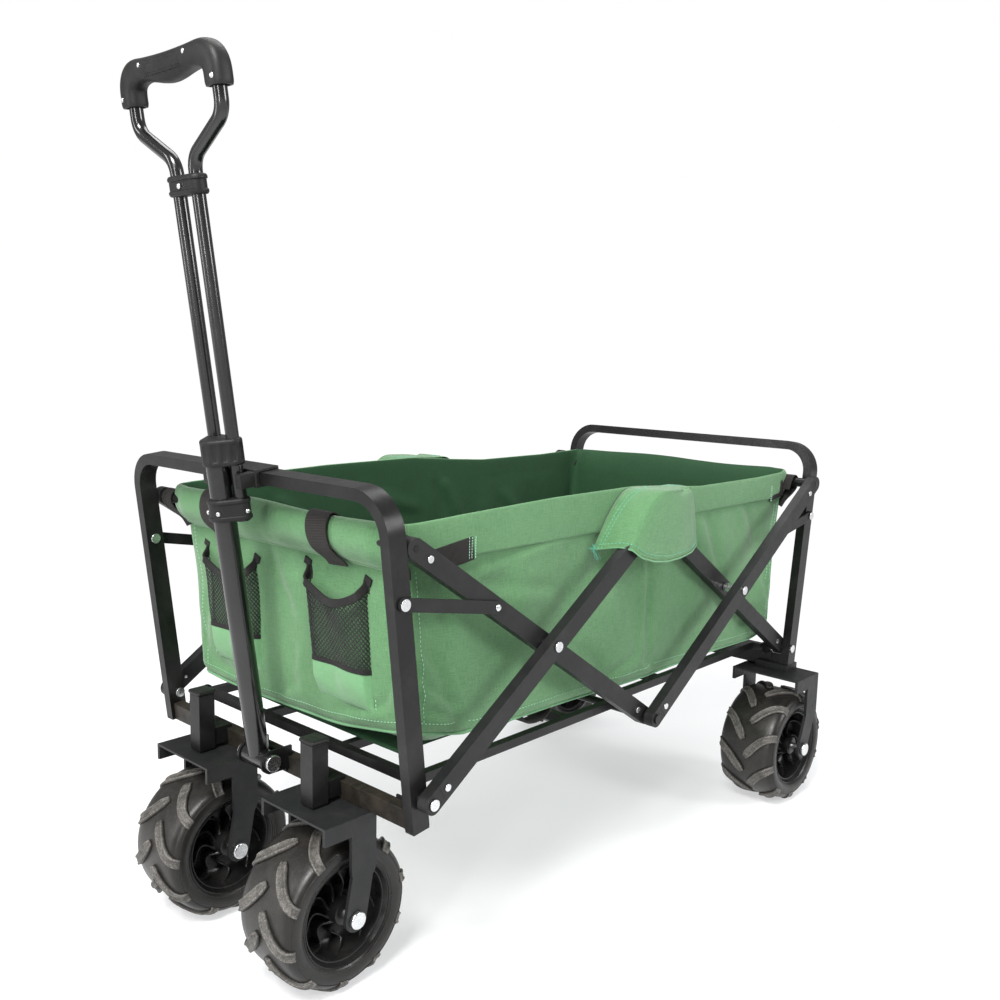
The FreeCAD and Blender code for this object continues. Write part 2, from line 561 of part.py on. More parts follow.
def rod(sg):
    """Long rod that bows outwards above the yoke and turns in under the grip."""
    r = D("rod_radius")
    y0, top, half = D("rod_side"), D("yoke_at"), D("loop_half")
    pts = [(y0, D("rod_start")), (y0, top + 28.5), (half, top + 68), (half, top + 119)]
    edges = []
    prev = V3(0, sg * pts[0][0], pts[0][1])
    for i in (1, 2):
        a, b, c = [V3(0, sg * q[0], q[1]) for q in pts[i - 1:i + 2]]
        u = (a - b).normalize()
        w = (c - b).normalize()
        half_turn = (math.pi - u.getAngle(w)) / 2
        rad = 25.0
        cutlen = rad * math.tan(half_turn)
        p, q = b + u * cutlen, b + w * cutlen
        centre = b + (u + w).normalize() * (rad / math.cos(half_turn))
        mid = centre + (b - centre).normalize() * rad
        edges.append(Part.LineSegment(prev, p).toShape())
        edges.append(Part.Arc(p, mid, q).toShape())
        prev = q
    edges.append(Part.LineSegment(prev, V3(0, sg * pts[3][0], pts[3][1])).toShape())
    wire = Part.Wire(edges)
    skins = []
    for radius in (r, D("rod_bore")):
        prof = Part.Wire([Part.Circle(V3(0, sg * y0, pts[0][1]), V3(0, 0, 1), radius).toShape()])
        skins.append(wire.makePipeShell([prof], True, True))
    return skins[0].cut(skins[1])


rods = doc.addObject("Part::Feature", "HandleRods")
rods.Shape = Part.makeCompound([rod(1), rod(-1)])
v = HR.multVec(V3(D("rod_back"), 0, 0))
rods.Placement = PLC(V3(HX + v.x, 0, HZ + v.z), HR)
own(rods, "handle_rods")
yk = box("24", "60", "24", on_handle(D("yoke_at"), D("rod_back")), HR)
own(cut(yk, *[cyl("Dims.rod_radius + 0.05", "60", on_handle(D("yoke_at"), D("rod_back"), sg * D("rod_side")), UP) for sg in (1, -1)]), "handle_yoke")

# grip: arched bar over both rod ends
top = D("grip_at")
g_mid = box("36", "2 * Dims.loop_half + 48", "34", on_handle(top + 2, D("rod_back")), HR)
g_l = box("32", "44", "56", on_handle(top - 12, D("rod_back"), D("loop_half")), HR)
g_r = box("32", "44", "56", on_handle(top - 12, D("rod_back"), -D("loop_half")), HR)
own(cut(fuse(g_mid, g_l, g_r), *[cyl("Dims.rod_radius + 0.05", "80", on_handle(top - 44, D("rod_back"), sg * D("loop_half")), UP) for sg in (1, -1)]), "handle_grip")
screws = []
fwd = HR.multVec(V3(-1, 0, 0))
for yy, uu, depth in ((-92, -30, 16.0), (92, -30, 16.0), (-64, 4, 18.0), (64, 4, 18.0)):
    screws.append(cyl("3.2", "2.4", on_handle(top + uu, D("rod_back") - depth - 1.2, yy), (fwd.x, fwd.y, fwd.z)))
group("grip_screws", *screws)

# clip on the top rail: a block round the rail with two jaws beside the rods
cz = 389.0
cr = lean_rot(-1)
blk = box("34", "84", "22", frame_point(-1, D("hoop_rise"), 1.0), cr)
slot = box("Dims.tube_depth + 0.2", "90", "Dims.tube_width + 0.2", frame_point(-1, D("hoop_rise")), cr)
jaws = [box("24", "11", "18", frame_point(-1, D("hoop_rise"), 27.0, sg * 35.0), cr) for sg in (1, -1)]
own(cut(fuse(blk, *jaws), slot), "handle_rest_clip")

# ---------------------------------------------------------------- fabric bag
def bag():
    """Open tub, narrower at the floor than at the hem."""
    b = doc.addObject("PartDesign::Body", "BagBody")
    W = 2 * D("bag_half_wide")

    def section(name, role_offset, inset, z):
        s = sketch(b, "XY_Plane", name, PLC(V3(0, 0, z), ROT()))
        return s
    lo = section("BagFloor", 0, 0, D("bag_low"))
    rect(lo, "2 * Dims.bag_half_long_low", "2 * Dims.bag_half_wide")
    hi = section("BagHem", 0, 0, D("bag_high"))
    rect(hi, "2 * Dims.bag_half_long", "2 * Dims.bag_half_wide")
    doc.recompute()
    loft = b.newObject("PartDesign::AdditiveLoft", "BagOuter")
    loft.Profile = lo
    loft.Sections = [hi]
    loft.Ruled = True
    doc.recompute()
    lo2 = section("BagInnerFloor", 0, 0, D("bag_low") + D("bag_wall"))
    rect(lo2, "2 * Dims.bag_half_long_low - 2 * Dims.bag_wall", "2 * Dims.bag_half_wide - 2 * Dims.bag_wall")
    hi2 = section("BagInnerHem", 0, 0, D("bag_high") + 1)
    rect(hi2, "2 * Dims.bag_half_long - 2 * Dims.bag_wall", "2 * Dims.bag_half_wide - 2 * Dims.bag_wall")
    doc.recompute()
    sub = b.newObject("PartDesign::SubtractiveLoft", "BagInner")
    sub.Profile = lo2
    sub.Sections = [hi2]
    sub.Ruled = True
    doc.recompute()
    return own(b, "bag")


bag()
# mesh cup pockets on the front panel
pockets = []
fa = math.degrees(math.atan2(D("bag_half_long") - D("bag_half_long_low"), D("bag_high") - D("bag_low")))
pr = ROT(YAX, -fa)
for sg in (1, -1):
    base = (-D("bag_half_long_low") - 8.6, sg * 118, 375)
    fr_x = -(D("bag_half_long_low") + (445 - D("bag_low")) * math.tan(math.radians(fa)))
    cx = fr_x - 13.0
    shell = box("24", "112", "150", (cx, sg * 118, 440), pr)
    void = box("20", "106", "150", (cx, sg * 118, 446), pr)
    pockets.append(cut(shell, void))
group("cup_pockets", *pockets)

doc.recompute()
bad = []
for o in doc.Objects:
    st = list(o.State)
    if "Invalid" in st or "Error" in st:
        bad.append((o.Name, st))
for o in final:
    if o.Shape.isNull() or not o.Shape.isValid() or not o.Shape.Solids:
        bad.append((o.Label, "shape"))
if bad:
    raise RuntimeError("failed objects: %r" % bad)
os.makedirs("parts", exist_ok=True)
labels = [o.Label for o in final]
if len(set(labels)) != len(labels):
    raise RuntimeError("two sub-parts share a label")
for o in final:
    o.Shape.exportStep("parts/%s.step" % o.Label)
print("%d sub-parts written" % len(final))
for nm, p in (("P1", P1), ("P2", P2), ("BC", BC), ("AD", AD), ("AT", AT), ("DT", DT)):
    print(nm, "x %.2f z %.2f" % p)
print("handle up", UP)
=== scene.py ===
import bpy
import math
import numpy as np
from mathutils import Matrix, Vector


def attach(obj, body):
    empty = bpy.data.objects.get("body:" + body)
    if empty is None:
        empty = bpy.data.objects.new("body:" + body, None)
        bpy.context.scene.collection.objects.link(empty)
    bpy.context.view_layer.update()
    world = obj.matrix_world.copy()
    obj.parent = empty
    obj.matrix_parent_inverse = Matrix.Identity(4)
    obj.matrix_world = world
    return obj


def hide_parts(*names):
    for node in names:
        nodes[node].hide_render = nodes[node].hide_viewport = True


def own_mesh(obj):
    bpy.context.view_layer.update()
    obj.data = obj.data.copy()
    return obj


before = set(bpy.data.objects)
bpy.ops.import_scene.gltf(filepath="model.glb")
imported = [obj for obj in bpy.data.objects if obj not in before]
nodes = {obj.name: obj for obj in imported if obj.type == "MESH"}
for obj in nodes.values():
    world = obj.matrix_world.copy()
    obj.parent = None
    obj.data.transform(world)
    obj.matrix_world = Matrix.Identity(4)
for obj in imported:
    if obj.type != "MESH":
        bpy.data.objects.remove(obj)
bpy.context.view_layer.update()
scene = bpy.context.scene
MM = 0.001

# ------------------------------------------------------------------ camera and light
yaw, pitch, roll = (math.radians(a) for a in (42.428, -8.266, 1.334))
fwd = Vector((math.cos(pitch) * math.cos(yaw), math.cos(pitch) * math.sin(yaw), math.sin(pitch)))
right0 = fwd.cross(Vector((0, 0, 1))).normalized()
up0 = right0.cross(fwd)
right = math.cos(roll) * right0 + math.sin(roll) * up0
up = -math.sin(roll) * right0 + math.cos(roll) * up0
cam_data = bpy.data.cameras.new("camera")
cam_data.sensor_width = 36.0
cam_data.lens = 1.045819 * 36.0
cam = bpy.data.objects.new("camera", cam_data)
scene.collection.objects.link(cam)
cam.matrix_world = Matrix(((right.x, up.x, -fwd.x, -1.232855), (right.y, up.y, -fwd.y, -1.097003),
                           (right.z, up.z, -fwd.z, 0.784332), (0, 0, 0, 1)))
scene.camera = cam
scene.view_settings.view_transform = "Standard"

world = bpy.data.worlds.new("studio")
scene.world = world
world.use_nodes = True
wn = world.node_tree
wn.nodes.clear()
w_out = wn.nodes.new("ShaderNodeOutputWorld")
w_bg = wn.nodes.new("ShaderNodeBackground")
w_bg.inputs["Color"].default_value = (1.0, 1.0, 1.0, 1)
w_bg.inputs["Strength"].default_value = 0.34
w_see = wn.nodes.new("ShaderNodeBackground")
w_see.inputs["Color"].default_value = (1.0, 1.0, 1.0, 1)
w_see.inputs["Strength"].default_value = 1.0
w_mix = wn.nodes.new("ShaderNodeMixShader")
w_lp = wn.nodes.new("ShaderNodeLightPath")
wn.links.new(w_lp.outputs["Is Camera Ray"], w_mix.inputs[0])
wn.links.new(w_bg.outputs[0], w_mix.inputs[1])
wn.links.new(w_see.outputs[0], w_mix.inputs[2])
wn.links.new(w_mix.outputs[0], w_out.inputs["Surface"])


def area_light(name, at, aim, size, watts, colour=(1, 1, 1)):
    d = bpy.data.lights.new(name, "AREA")
    d.shape = "RECTANGLE"
    d.size, d.size_y = size
    d.energy = watts
    d.color = colour
    o = bpy.data.objects.new(name, d)
    scene.collection.objects.link(o)
    o.location = at
    o.rotation_mode = "QUATERNION"
    o.rotation_quaternion = (Vector(aim) - Vector(at)).to_track_quat("-Z", "Y")
    return o


area_light("key_softbox", (-2.3, -1.0, 2.9), (0, 0, 0.35), (1.1, 1.1), 150, (1.0, 0.99, 0.975))
area_light("side_softbox", (1.3, -3.0, 1.7), (0.1, 0, 0.35), (0.9, 1.3), 62, (0.985, 0.99, 1.0))
area_light("top_softbox", (0.5, 0.7, 3.3), (0, 0, 0.3), (2.2, 1.6), 46)
area_light("strip_left", (-2.6, 1.3, 1.3), (-0.4, 0, 0.6), (0.35, 1.8), 22)
area_light("camera_left_strip", (-2.75, -1.15, 1.25), (-0.3, 0, 0.5), (0.22, 1.5), 26)


# ------------------------------------------------------------------ material helpers
def new_mat(name):
    m = bpy.data.materials.new(name)
    m.use_nodes = True
    nt = m.node_tree
    nt.nodes.clear()
    out = nt.nodes.new("ShaderNodeOutputMaterial")
    b = nt.nodes.new("ShaderNodeBsdfPrincipled")
    nt.links.new(b.outputs[0], out.inputs["Surface"])
    return m, nt, b


def coords(nt, kind="Object", scale=(1, 1, 1)):
    t = nt.nodes.new("ShaderNodeTexCoord")
    mp = nt.nodes.new("ShaderNodeMapping")
    mp.inputs["Scale"].default_value = scale
    nt.links.new(t.outputs[kind], mp.inputs["Vector"])
    return mp.outputs[0]


def noise(nt, vec, scale, detail=3.0, rough=0.55, distort=0.0):
    n = nt.nodes.new("ShaderNodeTexNoise")
    n.inputs["Scale"].default_value = scale
    n.inputs["Detail"].default_value = detail
    n.inputs["Roughness"].default_value = rough
    n.inputs["Distortion"].default_value = distort
    nt.links.new(vec, n.inputs["Vector"])
    return n.outputs["Fac"]


def wave(nt, vec, scale, direction="X", profile="SIN"):
    n = nt.nodes.new("ShaderNodeTexWave")
    n.bands_direction = direction
    n.wave_profile = profile
    n.inputs["Scale"].default_value = scale
    n.inputs["Distortion"].default_value = 0.0
    nt.links.new(vec, n.inputs["Vector"])
    return n.outputs["Fac"]


def ramp(nt, fac, stops):
    r = nt.nodes.new("ShaderNodeValToRGB")
    el = r.color_ramp.elements
    while len(el) < len(stops):
        el.new(0.5)
    for e, (p, c) in zip(el, stops):
        e.position = p
        e.color = c if len(c) == 4 else (*c, 1)
    nt.links.new(fac, r.inputs[0])
    return r.outputs[0]


def calc(nt, op, a, b=None):
    n = nt.nodes.new("ShaderNodeMath")
    n.operation = op
    for i, v in enumerate((a, b)):
        if v is None:
            continue
        if isinstance(v, (int, float)):
            n.inputs[i].default_value = v
        else:
            nt.links.new(v, n.inputs[i])
    return n.outputs[0]


def span(nt, fac, lo, hi, a=0.0, b=1.0):
    n = nt.nodes.new("ShaderNodeMapRange")
    n.inputs["From Min"].default_value = lo
    n.inputs["From Max"].default_value = hi
    n.inputs["To Min"].default_value = a
    n.inputs["To Max"].default_value = b
    nt.links.new(fac, n.inputs["Value"])
    return n.outputs[0]


def mixc(nt, fac, a, b):
    n = nt.nodes.new("ShaderNodeMix")
    n.data_type = "RGBA"
    nt.links.new(fac, n.inputs["Factor"])
    for key, v in (("A", a), ("B", b)):
        sock = [s for s in n.inputs if s.name == key and s.type == "RGBA"][0]
        if isinstance(v, tuple):
            sock.default_value = (*v, 1)
        else:
            nt.links.new(v, sock)
    return [s for s in n.outputs if s.type == "RGBA"][0]


def bump(nt, height, strength, distance, chain=None):
    n = nt.nodes.new("ShaderNodeBump")
    n.inputs["Strength"].default_value = strength
    n.inputs["Distance"].default_value = distance
    nt.links.new(height, n.inputs["Height"])
    if chain is not None:
        nt.links.new(chain, n.inputs["Normal"])
    return n.outputs[0]


def coated(name, dark, light, rough, peel=0.12, peel_scale=750, dust=None, metallic=0.0, coat=0.0, spec=0.27, blotch=9.0):
    """Painted or moulded black part: blotches, fine peel, dust in patches."""
    m, nt, b = new_mat(name)
    v = coords(nt)
    big = noise(nt, v, blotch, 5.0, 0.6)
    fine = noise(nt, v, peel_scale, 2.0, 0.5)
    col = mixc(nt, span(nt, big, 0.3, 0.7), tuple(c * 0.6 for c in dark), tuple(c * 0.7 for c in light))
    if dust:
        d_col, amount = dust
        patch = span(nt, noise(nt, v, 22.0, 8.0, 0.72, 0.4), 0.46, 0.74, 0.0, amount)
        col = mixc(nt, patch, col, d_col)
    nt.links.new(col, b.inputs["Base Color"])
    scuff = noise(nt, v, 60.0, 6.0, 0.7)
    nt.links.new(span(nt, scuff, 0.3, 0.75, rough[0], rough[1]), b.inputs["Roughness"])
    if peel:
        nt.links.new(bump(nt, fine, peel, 0.0006), b.inputs["Normal"])
    b.inputs["Metallic"].default_value = metallic
    b.inputs["Specular IOR Level"].default_value = spec
    b.inputs["Coat Weight"].default_value = coat
    b.inputs["Coat Roughness"].default_value = 0.08
    return m


def metal(name, colour, rough):
    m, nt, b = new_mat(name)
    v = coords(nt)
    n1 = noise(nt, v, 160.0, 6.0, 0.7)
    lo = tuple(c * 0.72 for c in colour)
    nt.links.new(mixc(nt, span(nt, n1, 0.3, 0.7), lo, colour), b.inputs["Base Color"])
    nt.links.new(span(nt, noise(nt, v, 420.0, 4.0), 0.3, 0.7, rough[0], rough[1]), b.inputs["Roughness"])
    nt.links.new(bump(nt, n1, 0.12, 0.0004), b.inputs["Normal"])
    b.inputs["Metallic"].default_value = 1.0
    return m


def woven(name, dark, light, pitch=0.0011, melange=0.5, sheen=0.25, rough=(0.68, 0.85), fold_shade=0.25):
    """Plain weave polyester; weave follows the cloth's own UV metres."""
    m, nt, b = new_mat(name)
    uv = coords(nt, "UV")
    ob = coords(nt)
    k = 1.0 / pitch / 2.0 / math.pi * 2.0
    wx = wave(nt, uv, k, "X")
    wy = wave(nt, uv, k, "Y")
    thread = calc(nt, "MULTIPLY", wx, wy)
    slub_x = noise(nt, coords(nt, "UV", (60, 900, 1)), 1.0, 3.0, 0.6)
    slub_y = noise(nt, coords(nt, "UV", (900, 60, 1)), 1.0, 3.0, 0.6)
    slub = calc(nt, "ADD", slub_x, slub_y)
    broad = noise(nt, ob, 7.0, 4.0, 0.6)
    mott = noise(nt, ob, 320.0, 3.0, 0.7)
    f1 = span(nt, broad, 0.3, 0.72, 0.0, 0.45)
    f2 = span(nt, slub, 0.75, 1.25, 0.0, melange)
    f3 = span(nt, mott, 0.3, 0.7, 0.0, 0.22)
    fac = calc(nt, "ADD", calc(nt, "ADD", f1, f2), f3)
    col = mixc(nt, fac, dark, light)
    shade = mixc(nt, span(nt, thread, 0.0, 0.6, 0.0, 1.0), tuple(c * (1 - fold_shade) for c in dark), col)
    nt.links.new(shade, b.inputs["Base Color"])
    nt.links.new(span(nt, mott, 0.3, 0.7, rough[0], rough[1]), b.inputs["Roughness"])
    h = calc(nt, "ADD", calc(nt, "MULTIPLY", thread, 0.5), calc(nt, "MULTIPLY", slub, 0.5))
    n1 = bump(nt, h, 0.35, 0.0005)
    n2 = bump(nt, noise(nt, ob, 38.0, 4.0, 0.6), 0.22, 0.004, n1)
    nt.links.new(n2, b.inputs["Normal"])
    b.inputs["Sheen Weight"].default_value = sheen
    b.inputs["Sheen Roughness"].default_value = 0.45
    b.inputs["Specular IOR Level"].default_value = 0.32
    return m


def webbing_mat(name, dark, light):
    m, nt, b = new_mat(name)
    uv = coords(nt, "UV")
    rib = wave(nt, uv, 1.0 / 0.0019 / 2.0 / math.pi * 2.0, "Y")
    cross = wave(nt, uv, 1.0 / 0.0012 / 2.0 / math.pi * 2.0, "X")
    hair = noise(nt, coords(nt, "UV", (1500, 260, 1)), 1.0, 4.0, 0.7)
    h = calc(nt, "ADD", calc(nt, "MULTIPLY", rib, 0.7), calc(nt, "MULTIPLY", calc(nt, "MULTIPLY", cross, hair), 0.6))
    nt.links.new(mixc(nt, span(nt, h, 0.25, 1.1), dark, light), b.inputs["Base Color"])
    nt.links.new(span(nt, hair, 0.2, 0.8, 0.62, 0.9), b.inputs["Roughness"])
    nt.links.new(bump(nt, h, 0.6, 0.0009), b.inputs["Normal"])
    b.inputs["Sheen Weight"].default_value = 0.04
    b.inputs["Specular IOR Level"].default_value = 0.25
    return m


M_FRAME = coated("powder_coated_steel", (0.0075, 0.0073, 0.0076), (0.0130, 0.0127, 0.0132), (0.26, 0.40), 0.16, 820, ((0.10, 0.095, 0.088), 0.10))
M_BARS = coated("scissor_bar_coat", (0.0125, 0.0125, 0.0135), (0.0200, 0.0198, 0.0215), (0.34, 0.50), 0.16, 820, ((0.11, 0.105, 0.10), 0.08))
M_GLOSS = coated("gloss_black_tube", (0.006, 0.006, 0.0062), (0.0105, 0.0105, 0.011), (0.17, 0.26), 0, 180, ((0.12, 0.12, 0.12), 0.04), coat=0.35, spec=0.5)
M_PLASTIC = coated("moulded_black_plastic", (0.0115, 0.0112, 0.0112), (0.0195, 0.019, 0.0188), (0.38, 0.58), 0.35, 1300, ((0.13, 0.125, 0.12), 0.07))
M_RIM = coated("rim_black_plastic", (0.0085, 0.0083, 0.0083), (0.0150, 0.0145, 0.0142), (0.22, 0.42), 0.12, 900, ((0.10, 0.095, 0.088), 0.14))
M_DUSTY = coated("dusty_fork_steel", (0.0135, 0.0118, 0.0098), (0.030, 0.0255, 0.020), (0.40, 0.64), 0.3, 500, ((0.105, 0.082, 0.058), 0.30), blotch=26.0)
M_ARM = coated("fork_arm_satin", (0.0165, 0.0172, 0.0185), (0.0245, 0.0255, 0.027), (0.40, 0.56), 0.25, 900, ((0.11, 0.10, 0.09), 0.10))
M_ZINC = metal("zinc_plated_steel", (0.78, 0.79, 0.80), (0.20, 0.38))
M_GREEN = woven("green_oxford_polyester", (0.062, 0.185, 0.070), (0.215, 0.430, 0.205), melange=0.75, fold_shade=0.35)
# painted shade: the inside faces of the same green cloth are coloured far darker to stand in for the shade inside the
# bag
M_GREEN_IN_PAINTED_SHADE = woven("green_oxford_inside_painted_shade", (0.010, 0.050, 0.018), (0.028, 0.098, 0.036), sheen=0.04)
# partly a lighter cloth tone and partly painted light: the upward-facing pocket bases are coloured lighter to stand in
# for the top light on them
M_GREEN_BASE_PAINTED_LIGHT = woven("green_pocket_cloth_painted_light", (0.120, 0.300, 0.130), (0.270, 0.520, 0.280))
M_SEAM = woven("green_seam_binding", (0.110, 0.290, 0.130), (0.230, 0.470, 0.250), 0.0008)
M_WEB = webbing_mat("dark_webbing", (0.005, 0.0045, 0.0045), (0.040, 0.034, 0.032))
M_BIND = webbing_mat("pocket_edge_binding", (0.004, 0.0037, 0.0037), (0.026, 0.024, 0.024))


def thread_mat(name, dark, light):
    m, nt, b = new_mat(name)
    v = coords(nt)
    nt.links.new(mixc(nt, span(nt, noise(nt, v, 900.0, 3.0), 0.3, 0.7), dark, light), b.inputs["Base Color"])
    nt.links.new(bump(nt, noise(nt, v, 2200.0, 2.0), 0.4, 0.0003), b.inputs["Normal"])
    nt.links.new(span(nt, noise(nt, v, 500.0, 2.0), 0.3, 0.7, 0.4, 0.65), b.inputs["Roughness"])
    return m


M_THREAD = thread_mat("pale_green_thread", (0.24, 0.50, 0.34), (0.44, 0.72, 0.54))
M_TEAL = thread_mat("teal_thread", (0.05, 0.30, 0.20), (0.16, 0.52, 0.40))
M_NET = thread_mat("black_net_cord", (0.003, 0.003, 0.003), (0.012, 0.012, 0.012))


def rubber_mat():
    """Moulded tyre: near-black with grey scuffs where the tread stands proud of the carcass."""
    m, nt, b = new_mat("scuffed_tyre_rubber")
    v = coords(nt)
    lug = nt.nodes.new("ShaderNodeAttribute")
    lug.attribute_name = "lug_top"
    big = noise(nt, v, 14.0, 6.0, 0.65)
    grit = noise(nt, v, 520.0, 5.0, 0.75)
    patch = noise(nt, v, 55.0, 8.0, 0.75, 0.6)
    base = mixc(nt, span(nt, big, 0.3, 0.7), (0.0060, 0.0055, 0.0050), (0.0135, 0.0122, 0.0108))
    scuffed = mixc(nt, span(nt, grit, 0.38, 0.66), (0.050, 0.047, 0.042), (0.30, 0.285, 0.26))
    amount = calc(nt, "MULTIPLY", lug.outputs["Fac"], span(nt, patch, 0.34, 0.62, 0.25, 0.95))
    col = mixc(nt, amount, base, scuffed)
    dusty = span(nt, noise(nt, v, 30.0, 8.0, 0.78), 0.52, 0.80, 0.0, 0.14)
    col = mixc(nt, dusty, col, (0.095, 0.082, 0.066))
    nt.links.new(col, b.inputs["Base Color"])
    r = calc(nt, "ADD", span(nt, patch, 0.3, 0.7, 0.26, 0.42), calc(nt, "MULTIPLY", lug.outputs["Fac"], 0.3))
    nt.links.new(r, b.inputs["Roughness"])
    n1 = bump(nt, grit, 0.22, 0.0008)
    nt.links.new(bump(nt, patch, 0.12, 0.002, n1), b.inputs["Normal"])
    b.inputs["Specular IOR Level"].default_value = 0.36
    return m


M_TYRE = rubber_mat()


# ------------------------------------------------------------------ mesh helpers
class Soup:
    """Collects vertices, faces, uv and a per-vertex mark into one mesh."""

    def __init__(self):
        self.v, self.f, self.uv, self.mi, self.mark = [], [], [], [], []

    def add(self, v, f, uv=None, mat=0, mark=0.0):
        n = len(self.v)
        v = [tuple(map(float, p)) for p in v]
        self.v += v
        self.f += [tuple(int(i) + n for i in q) for q in f]
        self.uv += [tuple(map(float, p)) for p in uv] if uv is not None else [(p[0] + p[1], p[2]) for p in v]
        self.mi += [mat] * len(f)
        self.mark += list(mark) if hasattr(mark, "__len__") else [mark] * len(v)
        return self

    def build(self, name, mats, smooth=True, mark_name=None):
        me = bpy.data.meshes.new(name)
        me.from_pydata(self.v, [], self.f)
        mats = mats if isinstance(mats, (list, tuple)) else [mats]
        for m in mats:
            me.materials.append(m)
        me.polygons.foreach_set("material_index", self.mi)
        me.polygons.foreach_set("use_smooth", [smooth] * len(self.f))
        idx = np.zeros(len(me.loops), np.int32)
        me.loops.foreach_get("vertex_index", idx)
        layer = me.uv_layers.new(name="UVMap")
        layer.data.foreach_set("uv", np.array(self.uv, np.float32)[idx].ravel())
        if mark_name:
            a = me.attributes.new(mark_name, "FLOAT", "POINT")
            a.data.foreach_set("value", np.array(self.mark, np.float32))
        me.update()
        o = bpy.data.objects.new(name, me)
        scene.collection.objects.link(o)
        return o


def grid_faces(rows, cols, wrap_cols=False, wrap_rows=False, flip=False):
    f = []
    for r in range(rows if wrap_rows else rows - 1):
        for c in range(cols if wrap_cols else cols - 1):
            a, b = r * cols + c, r * cols + (c + 1) % cols
            d, e = ((r + 1) % rows) * cols + c, ((r + 1) % rows) * cols + (c + 1) % cols
            f.append((a, d, e, b) if flip else (a, b, e, d))
    return f


def frames_along(path):
    p = np.asarray(path, float)
    t = np.gradient(p, axis=0)
    t /= np.linalg.norm(t, axis=1)[:, None] + 1e-12
    ref = np.array([0, 0, 1.0]) if abs(t[0][2]) < 0.9 else np.array([1.0, 0, 0])
    n = np.cross(t[0], ref)
    n /= np.linalg.norm(n)
    ns = [n]
    for i in range(1, len(p)):
        n = ns[-1] - t[i] * (ns[-1] @ t[i])
        n /= np.linalg.norm(n) + 1e-12
        ns.append(n)
    ns = np.array(ns)
    return p, t, ns, np.cross(t, ns)


def tube(path, radius, sides=8, taper=False):
    """Capped round tube along a path."""
    p, t, n, b = frames_along(path)
    k = len(p)
    rad = np.full(k, radius, float) if np.isscalar(radius) else np.asarray(radius, float)
    ang = np.arange(sides) / sides * 2 * math.pi
    ring = np.cos(ang)[None, :, None] * n[:, None, :] + np.sin(ang)[None, :, None] * b[:, None, :]
    v = (p[:, None, :] + ring * rad[:, None, None]).reshape(-1, 3)
    run = np.concatenate([[0], np.cumsum(np.linalg.norm(np.diff(p, axis=0), axis=1))])
    uv = [(a / (2 * math.pi) * 2 * math.pi * rad[i], run[i]) for i in range(k) for a in ang]
    f = grid_faces(k, sides, wrap_cols=True)
    f = [tuple(reversed(q)) for q in f]
    f = grid_faces(k, sides, wrap_cols=True, flip=False)
    v = list(map(tuple, v)) + [tuple(p[0]), tuple(p[-1])]
    uv += [(0, 0), (0, run[-1])]
    a0, a1 = k * sides, k * sides + 1
    for c in range(sides):
        f.append((a0, (c + 1) % sides, c))
        f.append((a1, (k - 1) * sides + c, (k - 1) * sides + (c + 1) % sides))
    return v, f, uv


def ribbon(path, width_dirs, width, thick, face_dirs=None):
    """Flat strap with softly rounded edges; width_dirs and the path give its plane."""
    p = np.asarray(path, float)
    k = len(p)
    t = np.gradient(p, axis=0)
    t /= np.linalg.norm(t, axis=1)[:, None] + 1e-12
    w = np.asarray(width_dirs, float)
    if w.ndim == 1:
        w = np.repeat(w[None], k, 0)
    w = w - t * np.sum(w * t, 1)[:, None]
    w /= np.linalg.norm(w, axis=1)[:, None] + 1e-12
    n = np.cross(w, t)
    wid = np.full(k, width, float) if np.isscalar(width) else np.asarray(width, float)
    h = thick / 2
    prof = [(-0.5, 0.0), (-0.5, 0.7), (-0.465, 1.0), (-0.25, 1.0), (0.0, 1.0), (0.25, 1.0), (0.465, 1.0), (0.5, 0.7), (0.5, 0.0),
            (0.5, -0.7), (0.465, -1.0), (0.25, -1.0), (0.0, -1.0), (-0.25, -1.0), (-0.465, -1.0), (-0.5, -0.7)]
    c = len(prof)
    run = np.concatenate([[0], np.cumsum(np.linalg.norm(np.diff(p, axis=0), axis=1))])
    v, uv = [], []
    for i in range(k):
        for a, b in prof:
            v.append(p[i] + w[i] * a * wid[i] + n[i] * b * h)
            uv.append((a * wid[i] + (0.1 if b < 0 else 0), run[i]))
    f = grid_faces(k, c, wrap_cols=True)
    f.append(tuple(range(c - 1, -1, -1)))
    f.append(tuple((k - 1) * c + i for i in range(c)))
    return v, f, uv


def bead(at, along, out, length, thick):
    """One stitch: a small spindle lying on the cloth."""
    a = np.asarray(along, float)
    a = a / (np.linalg.norm(a) + 1e-12)
    o = np.asarray(out, float)
    s = np.cross(a, o)
    s /= np.linalg.norm(s) + 1e-12
    o = np.cross(s, a)
    at = np.asarray(at, float)
    v = [at - a * length / 2]
    for q, r in ((-0.32, 0.8), (0.0, 1.0), (0.32, 0.8)):
        for j in range(5):
            g = j / 5 * 2 * math.pi
            v.append(at + a * q * length + (s * math.cos(g) + o * math.sin(g)) * thick / 2 * r)
    v.append(at + a * length / 2)
    f = []
    for j in range(5):
        f.append((0, 1 + (j + 1) % 5, 1 + j))
        for r in range(2):
            b = 1 + r * 5
            f.append((b + j, b + (j + 1) % 5, b + 5 + (j + 1) % 5, b + 5 + j))
        f.append((16, 11 + j, 11 + (j + 1) % 5))
    return v, f


